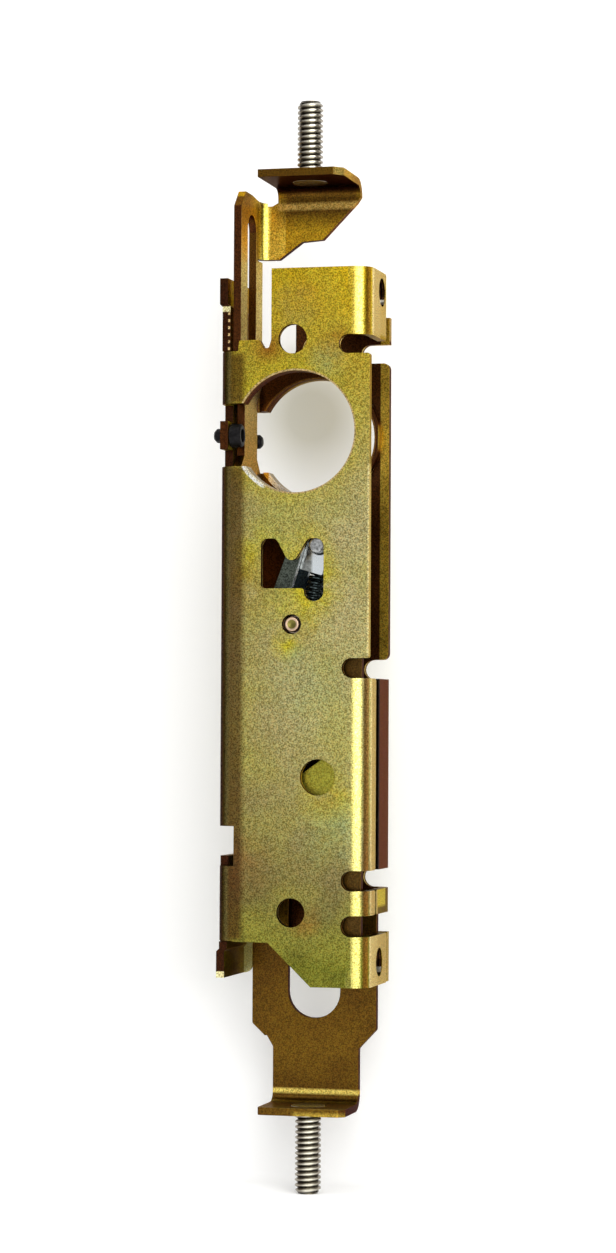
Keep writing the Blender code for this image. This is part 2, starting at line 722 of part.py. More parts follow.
def make_bottom_link(parent, material):
    left, right = BOTTOM_LINK_X
    neck_left, neck_right = NECK_X
    slot_left, slot_right = BOTTOM_SLOT_X
    tangent_z = BOTTOM_FLANGE_Z + LINK_BEND + LINK_SHEET
    outer_y = LINK_INNER + LINK_SHEET
    reach = outer_y - LINK_BEND - LINK_SHEET - BOTTOM_FLANGE_NEAR_Y
    end = tangent_z - LINK_ARC - reach
    outline = rounded([
        (left, BOTTOM_LINK_TOP, 2), (left, SHOULDER_Z, 0.8),
        (left + 3.2, SHOULDER_Z - 3.0, 0), (left + 3.7, SHOULDER_Z - 2.9, 0),
        (neck_left, NECK_Z, 0.6), (neck_left, end, 0.8), (neck_right - 1.6, end, 0.5),
        (neck_right, end + 1.6, 0.5), (neck_right, NECK_Z, 0.8), (right, SHOULDER_Z - 0.9, 0.8),
        (right, BOTTOM_LINK_STEP_Z, 1), (BOTTOM_LINK_STEP_X, BOTTOM_LINK_STEP_Z, 0.8),
        (BOTTOM_LINK_STEP_X, BOTTOM_LINK_TOP, 2),
    ], 3)
    half = (slot_right - slot_left) / 2 - 0.05
    slot = rounded([
        (slot_left, BOTTOM_SLOT_END, half), (slot_right, BOTTOM_SLOT_END, half),
        (slot_right, BOTTOM_SLOT_TOP, 2), (slot_left, BOTTOM_SLOT_TOP, 2),
    ], 9)
    holes = [disc(x, z, LINK_RIVET_R + PIN_FIT, 16) for x, z in LINK_RIVETS.values()]
    lines = score_across(tangent_z, -LINK_ARC, (neck_left - 2, neck_right + 2))
    bm = stamp([outline], [slot, *holes], lines, in_side_plane(LINK_INNER), LINK_SHEET)
    fold(
        bm, (0, outer_y, tangent_z), (0, 0, -1), (0, -1, 0), LINK_BEND, LINK_SHEET,
        lambda point: True,
    )
    link = add_object("bottom_link", bm, material, parent)
    seat = stud_seat(BOTTOM_STUD_X, BOTTOM_FLANGE_Z + LINK_SHEET, -1)
    boolean(link, add_object("bottom_stud_seat", seat, None, parent), "DIFFERENCE")
    return link


def make_inner_link(parent, material):
    """The bottom link's second plate: it has the arm that the lever's drive pin works in."""
    left, right = BOTTOM_LINK_X
    pin_x, pin_z = lever_point(LEVER_ARM, 0)
    low, high = INNER_SHOULDER_Z
    top = pin_z + DRIVE_PIN_R + 2.0
    outline = rounded([
        (left, INNER_LINK_FOOT, 0), (right, INNER_LINK_FOOT, 0), (right, top, 2.2),
        (INNER_ARM_X, top, 2.2), (INNER_ARM_X, high, 3), (left + 3, low, 2), (left, low - 3, 2),
    ], 4)
    slot_left, slot_right = BOTTOM_SLOT_X
    slot = rounded([
        (slot_left, INNER_LINK_FOOT - 1, 0), (slot_right, INNER_LINK_FOOT - 1, 0),
        (slot_right, BOTTOM_SLOT_TOP, 5), (slot_left, BOTTOM_SLOT_TOP, 5),
    ])
    travel = LEVER_ARM * (1 - math.cos(LEAN))
    reach, half = DRIVE_PIN_R + GAP, DRIVE_PIN_R + PIN_FIT
    pin_slot = rounded([
        (pin_x - reach, pin_z - half, half - 0.05), (pin_x + travel + reach, pin_z - half, half - 0.05),
        (pin_x + travel + reach, pin_z + half, half - 0.05), (pin_x - reach, pin_z + half, half - 0.05),
    ])
    holes = [disc(x, z, LINK_RIVET_R + PIN_FIT, 16) for x, z in LINK_RIVETS.values()]
    bm = stamp(
        [outline], [slot, pin_slot, *holes], [],
        in_side_plane(-LINK_INNER - LINK_SHEET), LINK_SHEET,
    )
    return add_object("bottom_link_inner_plate", bm, material, parent)


def make_link_rivet(name, place, parent, material):
    """A shouldered rivet that holds the two bottom link plates apart."""
    neck = LINK_INNER + LINK_SHEET + GAP
    head = neck + 0.7
    profile = [
        (0, -head), (LINK_HEAD_R - 0.4, -head), (LINK_HEAD_R, -neck), (LINK_RIVET_R, -neck),
        (LINK_RIVET_R, GAP - LINK_INNER), (LINK_SPACER_R, GAP - LINK_INNER),
        (LINK_SPACER_R, LINK_INNER - GAP), (LINK_RIVET_R, LINK_INNER - GAP),
        (LINK_RIVET_R, neck), (LINK_HEAD_R, neck), (LINK_HEAD_R - 0.4, head), (0, head),
    ]
    return add_object(name, turned(profile, "Y", 20), material, parent, (place[0], 0, place[1]))


def lever_point(u, v):
    """The place in the case, (x, z), of a point on the leaning lever."""
    return (
        PIVOT[0] + u * math.cos(LEAN) + v * math.sin(LEAN),
        PIVOT[1] - u * math.sin(LEAN) + v * math.cos(LEAN),
    )


def lever_outline(side):
    """One lever plate about its pivot: two arms, the front one short on the far side, and a fork."""
    rear, front, root = REAR_TIP_R, FRONT_TIP_R, ARM_ROOT
    arm = LEVER_ARM if side == NEAR else LEVER_RIVET_AT
    return rounded([
        (-LEVER_ARM - rear, -rear, rear - 0.05), (-LEVER_ARM, -rear, 0), (-6.0, -root - 1.5, 3),
        (6.0, -root - 1.5, 3), (arm, -front, 0), (arm + front, -front, front - 0.05),
        (arm + front, front, front - 0.05), (PRONG_HALF + 1.0, root, 1),
        (PRONG_HALF, PRONG_TOP, 1.2), (FORK_HALF, PRONG_TOP, 0.8), (FORK_HALF, FORK_FOOT, 1.5),
        (-FORK_HALF, FORK_FOOT, 1.5), (-FORK_HALF, PRONG_TOP, 0.8), (-PRONG_HALF, PRONG_TOP, 1.2),
        (-PRONG_HALF - 1.5, root, 2), (-LEVER_ARM - rear, rear, rear - 0.05),
    ])


def make_lever(axis, silver, steel):
    holes = [
        disc(0, 0, PIVOT_R + PIN_FIT),
        disc(-LEVER_RIVET_AT, 0, LEVER_RIVET_R + PIN_FIT, 16),
        disc(LEVER_RIVET_AT, 0, LEVER_RIVET_R + PIN_FIT, 16),
    ]
    for side, name in ((NEAR, "near"), (FAR, "far")):
        start = LEVER_INNER if side == FAR else -LEVER_INNER - LEVER_SHEET
        cuts = [*holes, disc(LEVER_ARM, 0, DRIVE_PIN_R + PIN_FIT, 20)] if side == NEAR else holes
        bm = stamp([lever_outline(side)], cuts, [], in_side_plane(start), LEVER_SHEET)
        add_object(f"lever_plate_{name}", bm, silver, axis)
    hub = LEVER_INNER - GAP
    add_object("lever_hub", tube(PIVOT_R + PIN_FIT, HUB_R, -hub, hub), silver, axis)
    end = LEVER_INNER + LEVER_SHEET
    shoulder = LEVER_INNER - GAP
    for sign, name in ((-1, "rear"), (1, "front")):
        profile = [
            (0, -end), (LEVER_RIVET_R, -end), (LEVER_RIVET_R, -shoulder), (LEVER_SHOULDER_R, -shoulder),
            (LEVER_SHOULDER_R, shoulder), (LEVER_RIVET_R, shoulder), (LEVER_RIVET_R, end), (0, end),
        ]
        place = (sign * LEVER_RIVET_AT, 0, 0)
        add_object(f"lever_spacer_{name}", turned(profile, "Y", 16), steel, axis, place)
    near_end = -LINK_INNER - LINK_SHEET - 0.5
    profile = [
        (0, near_end), (DRIVE_PIN_R, near_end), (DRIVE_PIN_R, -shoulder),
        (DRIVE_PIN_R + 0.7, -shoulder), (DRIVE_PIN_R + 0.7, 0.8 - shoulder), (0, 0.8 - shoulder),
    ]
    add_object("drive_pin", turned(profile, "Y", 20), steel, axis, (LEVER_ARM, 0, 0))


def make_pivot(parent, steel):
    """The fixed pivot: a shouldered pin riveted in the side plates, with a bush on each side."""
    shoulder, end = INNER_HALF - GAP, CASE_HALF - 0.2
    profile = [
        (0, -end + DIMPLE), (DIMPLE, -end + 0.1), (PIVOT_END_R - 0.3, -end), (PIVOT_END_R, -end + 0.3),
        (PIVOT_END_R, -shoulder), (PIVOT_R, -shoulder),
        (PIVOT_R, shoulder), (PIVOT_END_R, shoulder),
        (PIVOT_END_R, end - 0.3), (PIVOT_END_R - 0.3, end), (DIMPLE, end - 0.1), (0, end - DIMPLE),
    ]
    place = (PIVOT[0], 0, PIVOT[1])
    add_object("pivot_pin", turned(profile), steel, parent, place)
    low, high = LEVER_INNER + LEVER_SHEET + GAP, INNER_HALF - GAP
    add_object("pivot_bush_near", tube(PIVOT_R + PIN_FIT, BUSH_R, -high, -low), steel, parent, place)
    add_object("pivot_bush_far", tube(PIVOT_R + PIN_FIT, BUSH_R, low, high), steel, parent, place)


def make_detent(axis, silver, steel):
    """The sprung block in the lever's fork, its cross pin and its spring."""
    half = LEVER_INNER - GAP
    body = rounded([
        (-DETENT_BODY_HALF, DETENT_FOOT, 0.5), (DETENT_BODY_HALF, DETENT_FOOT, 0.5),
        (DETENT_BODY_HALF, DETENT_TOP - 2, 1.5), (-DETENT_BODY_HALF, DETENT_TOP - 2, 1.5),
    ], 3)
    block = add_object("detent_block", stamp([body], [], [], in_side_plane(-half), 2 * half), silver, axis)
    nose_half = LEVER_INNER + LEVER_SHEET + 0.2
    nose = rounded([
        (-DETENT_BOSS_HALF, DETENT_FOOT + 0.01, 0.3), (DETENT_BOSS_HALF, DETENT_FOOT + 0.01, 0.3),
        (DETENT_BOSS_HALF, DETENT_TOP, 2), (-DETENT_BOSS_HALF, DETENT_TOP, 2),
    ], 4)
    nose_bm = stamp([nose], [], [], in_side_plane(-nose_half), 2 * nose_half)
    boolean(block, add_object("detent_nose", nose_bm, None, axis), "UNION")
    bore_profile = [
        (0, DETENT_FOOT - 1), (DETENT_BORE_R, DETENT_FOOT - 1),
        (DETENT_BORE_R, DETENT_BORE_TOP), (0, DETENT_BORE_TOP),
    ]
    boolean(block, add_object("detent_bore", turned(bore_profile, "Z", 20), None, axis), "DIFFERENCE")
    pin_reach, pin_hole = INNER_HALF - GAP, DETENT_PIN_R + PIN_FIT / 2
    cross = turned([(0, -pin_reach), (pin_hole, -pin_reach), (pin_hole, pin_reach), (0, pin_reach)])
    bmesh.ops.translate(cross, vec=(0, 0, DETENT_PIN_AT), verts=cross.verts)
    boolean(block, add_object("detent_cross_hole", cross, None, axis), "DIFFERENCE")
    profile = [
        (0, -pin_reach), (DETENT_PIN_R - 0.25, -pin_reach), (DETENT_PIN_R, 0.25 - pin_reach),
        (DETENT_PIN_R, pin_reach - 0.25), (DETENT_PIN_R - 0.25, pin_reach), (0, pin_reach),
    ]
    add_object("detent_pin", turned(profile), steel, axis, (0, 0, DETENT_PIN_AT))
    make_spring(axis, steel)


def make_spring(axis, material):
    low = HUB_R + SPRING_WIRE / 2 + GAP
    high = DETENT_BORE_TOP - SPRING_WIRE / 2 - GAP
    per_turn = 12
    count = SPRING_TURNS * per_turn
    curve = bpy.data.curves.new("detent_spring", "CURVE")
    curve.dimensions = "3D"
    curve.bevel_depth = SPRING_WIRE / 2 * MM
    curve.bevel_resolution = 1
    curve.use_fill_caps = True
    spline = curve.splines.new("POLY")
    spline.points.add(count)
    for k, point in enumerate(spline.points):
        turn = 2 * math.pi * k / per_turn
        height = low + (high - low) * k / count
        point.co = (SPRING_R * math.cos(turn) * MM, SPRING_R * math.sin(turn) * MM, height * MM, 1)
    curve.materials.append(material)
    obj = bpy.data.objects.new("detent_spring", curve)
    bpy.context.scene.collection.objects.link(obj)
    obj.parent = axis


def socket_screw(name, head_x, end_x, side, parent, material):
    """A cap screw along X: head_x is under its head and end_x its far end."""
    way = 1 if end_x > head_x else -1
    top = -way * CLAMP_HEAD
    floor = top + way * CLAMP_SOCKET_DEPTH
    end = end_x - head_x
    at_head, at_end = CLAMP_CHAMFERS
    profile = [
        (0, floor), (CLAMP_SOCKET_R, floor), (CLAMP_SOCKET_R, top),
        (CLAMP_HEAD_R - at_head, top), (CLAMP_HEAD_R, top + way * at_head), (CLAMP_HEAD_R, 0),
        (CLAMP_SCREW_R, 0), (CLAMP_SCREW_R, end - way * at_end), (CLAMP_SCREW_R - at_end, end), (0, end),
    ]
    place = (head_x, side * CLAMP_SCREW_Y, sum(EAR_Z) / 2)
    return add_object(name, turned(profile, "X", 20), material, parent, place)


def make_clamp_screws(parent, black):
    """The near screw has its head inside the case, the far one outside."""
    inside, outside = REAR_X + CASE_SHEET + GAP, REAR_X - GAP
    socket_screw("clamp_screw_near", inside, CLAMP_NEAR_END, NEAR, parent, black)
    socket_screw("clamp_screw_far", outside, CLAMP_FAR_END, FAR, parent, black)


def main():
    clear_scene()
    gold = metal("zinc_gold", ZINC_GOLD, 0.45)
    brown = metal("zinc_brown", ZINC_BROWN, 0.45)
    silver = metal("zinc_silver", ZINC_SILVER, 0.3)
    steel = metal("bright_steel", STEEL, 0.3)
    black = metal("black_oxide", BLACK_OXIDE, 0.5)
    frame = empty("lock_frame", None, (-FRONT_X, 0, -MOUNT_Z))
    axis = empty("lever_axis", frame, (PIVOT[0], 0, PIVOT[1]), LEAN)
    make_case(frame, gold)
    make_clamp_screws(frame, black)
    make_top_link(frame, gold)
    make_stud("top_stud", TOP_STUD_X, TOP_FLANGE_Z - LINK_SHEET, TOP_STUD_END, frame, steel)
    make_bottom_link(frame, brown)
    make_inner_link(frame, gold)
    make_stud("bottom_stud", BOTTOM_STUD_X, BOTTOM_FLANGE_Z + LINK_SHEET, BOTTOM_STUD_END, frame, steel)
    for name, place in LINK_RIVETS.items():
        make_link_rivet(f"link_rivet_{name}", place, frame, steel)
    make_lever(axis, silver, steel)
    make_pivot(frame, steel)
    make_detent(axis, silver, steel)


main()
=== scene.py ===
"""The two-point deadlock as photographed: upright on its lower stud before a white sheet.

Lengths are in millimetres until MM scales them to metres. A place in the cylinder's frame is
measured from the centre of the cylinder's opening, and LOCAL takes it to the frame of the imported
model, which is loaded first. Every solid of the model is replaced by a bevelled, smooth-shaded
copy. The threads, the spring with its guide, two thin plates and the finish are made here.
"""

import json
import math

import bmesh
import bpy
from mathutils import Matrix, Vector

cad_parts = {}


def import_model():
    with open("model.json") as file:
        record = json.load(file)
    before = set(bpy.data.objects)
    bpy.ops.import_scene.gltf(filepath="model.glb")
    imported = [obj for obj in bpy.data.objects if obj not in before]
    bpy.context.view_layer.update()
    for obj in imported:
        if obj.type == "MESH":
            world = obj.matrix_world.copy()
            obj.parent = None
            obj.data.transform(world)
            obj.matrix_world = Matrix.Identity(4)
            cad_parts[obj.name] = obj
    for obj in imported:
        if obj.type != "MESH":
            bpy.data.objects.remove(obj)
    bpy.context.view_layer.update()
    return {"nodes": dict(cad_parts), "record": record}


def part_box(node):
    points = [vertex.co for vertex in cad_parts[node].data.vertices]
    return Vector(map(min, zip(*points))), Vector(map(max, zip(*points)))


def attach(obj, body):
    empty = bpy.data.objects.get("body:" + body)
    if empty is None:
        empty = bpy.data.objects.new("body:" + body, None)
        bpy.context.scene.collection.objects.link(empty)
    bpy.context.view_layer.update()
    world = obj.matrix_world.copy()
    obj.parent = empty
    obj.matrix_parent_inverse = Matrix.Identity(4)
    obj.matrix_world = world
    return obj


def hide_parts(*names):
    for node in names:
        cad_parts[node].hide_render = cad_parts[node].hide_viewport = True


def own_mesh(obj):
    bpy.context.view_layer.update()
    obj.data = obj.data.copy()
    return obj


MM = 0.001
LOCAL = Vector((-18.4, 0.0, -27.0))  # the cylinder's centre in the model's frame
NEAR_Y = -12.7  # the near plate's outer face
CYLINDER_PITCH = 0.8
BORE_WALL = (14.3, 15.1)  # radii inside and outside the collars' threaded wall
SCREW_PITCH = 0.8
# The stretches that hold the tabs' threaded holes, and the steps under the tongues' heads.
SCREW_HOLES_Z = ((-130.5, -119), (28, 40.5))
TONGUE_STEPS_Z = ((29.6, 30.9), (-131.6, -129.9))
DASH_PITCH = 1.7  # of the marks down the upper tongue's neck
PIVOT = (-0.6, -46.3)  # x and z in the cylinder's frame
PIVOT_END_Y = -12.5
LEAN = math.radians(16)  # of the lever, to the front
PIN_END = (4.86, -7, -27.3)  # in the cylinder's frame
STUD_PITCH = 1.27
STUD_R = 3.175
STUD_CORE_R = 2.45
STUD_CHAMFER = 0.9
STUD_HEAD = 1.2  # the end of a stud that has no thread
STUD_REACH = 3.4  # what lies nearer to a stud's axis is shank and not head
THREAD_STEPS = 40  # to a turn
THREAD_ROWS = 8  # to a pitch
SPRING_ENDS = (4.95, 16.6)  # up the lever from the pivot
SPRING_R = 1.85
SPRING_WIRE_R = 0.48
SPRING_COILS = 9.5
SPRING_STEPS = 16  # to a coil
GUIDE_R = 1.2
GUIDE_ENDS = (4.4, 10.9)
BACK_SIDE = (-5.8, 5.8)  # the dark plate behind the lever's fork
BACK_UP = (4.8, 11.7)
BACK_Y = (7.4, 7.9)
LIP_X = (-18.0, -15.7)  # the lip behind the lower tongue
LIP_Y = (8.4, 9.45)
LIP_Z = (-131.4, -122.2)
LIP_R = 2.0
LIP_STEPS = 6
# Bevel widths: these nodes' own, and the one for all others.
BEVEL = {"case": 0.22, "top_link": 0.3, "bottom_link": 0.25}
BEVEL_SMALL = 0.12
SMOOTH_ANGLE = math.radians(32)
THREAD_SMOOTH_ANGLE = math.radians(45)
BEVEL_ANGLE = math.radians(40)
FLAT_ANGLE = 0.02  # faces that turn by less are joined
FILM_ROUGHNESS = 0.27
COAT_ROUGHNESS = 0.22
SHEET_FOOT_Z = -183.6
SHEET_FRONT_Y = 15.0
SHEET_WALL_Y = 34.0
SHEET_FOLD_Z = -134.0
SHEET_TOP_Z = 700.0
SHEET_REACH = 900.0
SHEET_STEPS = 8
# The middle of the painted shadow on the sheet behind the opening.
SHEET_SHADOW_AT = (-8, SHEET_WALL_Y, 8)
SHEET_GLOW = 0.16  # of white, where the sheet is seen or mirrored
ROOM = 0.66  # the strength of the white world
CENTRE = Vector((-15, 0, -80)) * MM  # what the lamps are aimed at
# The lamps: places and sizes in metres, powers in watts.
WINDOW_AZIMUTH = math.radians(32)  # from straight ahead of the near plate, towards its front edge
WINDOW_RISE = 0.12
WINDOW_DISTANCE = 0.9
WINDOW_SIZE = (0.75, 1.3)
WINDOW_POWER = 8.5
CEILING_AT = Vector((-0.1, -0.5, 0.95))
CEILING_SIZE = (0.9, 0.6)
CEILING_POWER = 3
# Cards: (name, centre in the cylinder's frame, width and height).
DARK_CARDS = (
    ("card_left", (-420, 40, -60), (420, 900)),
    ("card_right", (560, -60, -60), (300, 900)),
    ("card_low", (-60, -420, -520), (700, 300)),
)
# The camera, turned from straight ahead of the near plate towards its front edge.
AZIMUTH = math.radians(14.5)
PITCH = math.radians(1.7)
ROLL = math.radians(0.3)
FOCAL_PX = 3260
FRAME_HEIGHT_PX = 1253
SENSOR_HEIGHT = 36
DISTANCE = 780.0
CAMERA_Z = -70.0
AXIS_ALONG = 3.4  # where the optical axis meets the near plate, right of the cylinder's centre

FRONT, REAR = (1, 0, 0), (-1, 0, 0)
NEAR, FAR = (0, -1, 0), (0, 1, 0)
UP, DOWN = (0, 0, 1), (0, 0, -1)
OPEN = (None, None, None)  # a corner that leaves a box open


def srgb(red, green, blue):
    """The linear colour of a displayed one."""
    shares = (value / 255 for value in (red, green, blue))
    return tuple(c / 12.92 if c <= 0.04045 else ((c + 0.055) / 1.055) ** 2.4 for c in shares)


GOLD = srgb(198, 166, 20)
GOLD_OLIVE = srgb(180, 158, 56)
GREY_OLIVE = srgb(178, 168, 112)
LOW_OLIVE = srgb(128, 117, 70)
LOW_GREEN = srgb(106, 107, 34)
CLOUD_OLIVE = srgb(172, 168, 62)
# Painted reflection: an olive stripe on the rear bend.
REFLECTED_STRIPE_OLIVE = srgb(120, 110, 62)
# Painted shade on the far plate's front edges.
EDGE_SHADE_OLIVE = srgb(92, 70, 18)
INSIDE_OLIVE = srgb(184, 152, 52)
DIMPLE_OLIVE = srgb(112, 104, 52)
YELLOW = srgb(190, 176, 28)
ORANGE = srgb(140, 76, 24)
GREEN = srgb(140, 160, 112)
# Painted shade: brown on edges, cut walls, creases and undersides that turn from the light.
EDGE_SHADE_BROWN = srgb(72, 38, 12)
# Painted shade: deep brown on the tongues' near faces and the top link's top edge.
DEEP_SHADE_BROWN = srgb(54, 26, 8)
# Painted shade: brown inside the case.
INSIDE_SHADE_BROWN = srgb(72, 40, 14)
# Painted dark reflection on the near front bend.
BEND_REFLECTION_BROWN = srgb(124, 76, 20)
# Painted shade on the far flange.
FLANGE_SHADE_BROWN = srgb(116, 84, 12)
SHADE_BROWN = srgb(58, 30, 8)
# Painted shade on the rear bend's outer side.
BEND_SHADE_BLACK = srgb(44, 28, 8)
# Painted shade in the gap between the flanges.
GAP_SHADE_BLACK = srgb(24, 12, 4)
# Painted shade at the studs' thread roots.
ROOT_SHADE_BLACK = srgb(52, 44, 34)
# Painted shade round the detent pin.
RING_SHADE_BLACK = srgb(18, 20, 22)
CARD_BLACK = srgb(26, 20, 16)
# Painted reflection on the flanges' front faces.
FLANGE_REFLECTION_PALE = srgb(236, 216, 160)
# Painted highlight on arrises and on the near flange's edge.
EDGE_HIGHLIGHT_PALE = srgb(222, 206, 140)
END_PALE = srgb(236, 222, 160)
DASH_PALE = srgb(226, 190, 130)
# Painted highlight round the near collar's rim.
RIM_HIGHLIGHT_PALE = srgb(236, 214, 150)
RIVET_BEIGE = srgb(214, 184, 156)
# Painted highlight on the near front bend.
BEND_HIGHLIGHT_YELLOW = srgb(255, 242, 136)
FLANGE_YELLOW = srgb(226, 214, 110)
# Painted highlight on the top link's bend.
BEND_HIGHLIGHT_GOLD = srgb(250, 226, 100)
# Painted highlight on the bottom link's fold.
FOLD_HIGHLIGHT_YELLOW = srgb(250, 222, 110)
# Painted light on the far collar's bore at its top.
WALL_LIT_GOLD = srgb(186, 164, 84)
# Painted highlight on a collar at the opening's lower rear.
COLLAR_HIGHLIGHT_GOLD = srgb(196, 156, 62)
# Painted highlight on the top link's fold.
FOLD_HIGHLIGHT_GOLD = srgb(190, 156, 78)
# Painted reflection on the top of the bottom link's foot.
FOOT_REFLECTION_GOLD = srgb(186, 168, 96)
# Painted highlight on the bottom link's foot, at its near edge.
EDGE_HIGHLIGHT_GOLD = srgb(206, 176, 70)
# Painted glints: in the tabs' screw holes, in the collars' bore and on their rims, and on the lever's edges.
SCREW_GLINT = srgb(255, 246, 215)
BORE_GLINT = srgb(255, 250, 225)
RIM_GLINT = srgb(255, 252, 232)
STEEL_GLINT = srgb(245, 248, 250)
STEEL_SHADE = srgb(92, 84, 66)
GRAZING = srgb(150, 118, 66)  # the film's mirror colour at a low angle
PAPER = srgb(240, 240, 239)
# Painted shadow: the sheet's grey behind the opening.
PAPER_SHADOW_GREY = srgb(214, 212, 200)

# The case's film from the bottom up: (height in the cylinder's frame, colour).
CASE_STOPS = (
    (-128, LOW_GREEN), (-108, LOW_OLIVE), (-66, GREY_OLIVE),
    (-18, GREY_OLIVE), (12, GOLD_OLIVE), (38, GOLD),
)
# The front of the top link in the same way, painted lighter as the side that the light falls on.
LIT_KHAKI_STOPS = (
    (-6, srgb(206, 172, 106)), (14, srgb(226, 208, 148)),
    (34, srgb(228, 214, 152)), (54, srgb(208, 178, 92)),
)
# Tinted spots on the case: (point in the cylinder's frame, reach, fade, tint, share).
CASE_HALOS = (
    ((-2, NEAR_Y, 0), 15, 21, YELLOW, 0.45),
    ((-3, NEAR_Y, -33), 9, 15, YELLOW, 0.7),
    ((5, NEAR_Y, -38), 4, 9, YELLOW, 0.7),
    ((-9, NEAR_Y, -37), 1, 8, ORANGE, 0.45),
    ((-7, NEAR_Y, 20.5), 1, 5, ORANGE, 0.7),
    ((9.5, NEAR_Y, 22), 1, 5, ORANGE, 0.55),
    ((3, NEAR_Y, 33), 2, 9, ORANGE, 0.25),
    ((-1.5, NEAR_Y, -51), 1, 5, YELLOW, 0.9),
    ((2.2, NEAR_Y, -48), 1, 4, ORANGE, 0.4),
    ((7.8, NEAR_Y, -87.5), 2, 8, YELLOW, 0.8),
    ((8.2, NEAR_Y, -88.2), 0.5, 4, ORANGE, 0.5),
    ((3, NEAR_Y, -117), 1, 5, ORANGE, 0.5),
    ((-12, NEAR_Y, -104), 1, 9, ORANGE, 0.35),
    ((16.5, 11, -24), 3, 9, YELLOW, 0.8),
    ((10, NEAR_Y, -96), 3, 10, GREEN, 0.45),
    ((-4, NEAR_Y, -24), 2, 8, GREEN, 0.3),
    ((4, NEAR_Y, -62), 4, 14, GREEN, 0.25),
    ((0, NEAR_Y, 30), 2, 7, GREEN, 0.2),
    ((8, NEAR_Y, 17), 1, 6, GREEN, 0.45),
    ((-6, NEAR_Y, -38), 2, 8, GREEN, 0.3),
    ((3, NEAR_Y, -46), 1, 4, YELLOW, 0.7),
    ((1.5, NEAR_Y, -54), 1, 4, GREEN, 0.5),
)


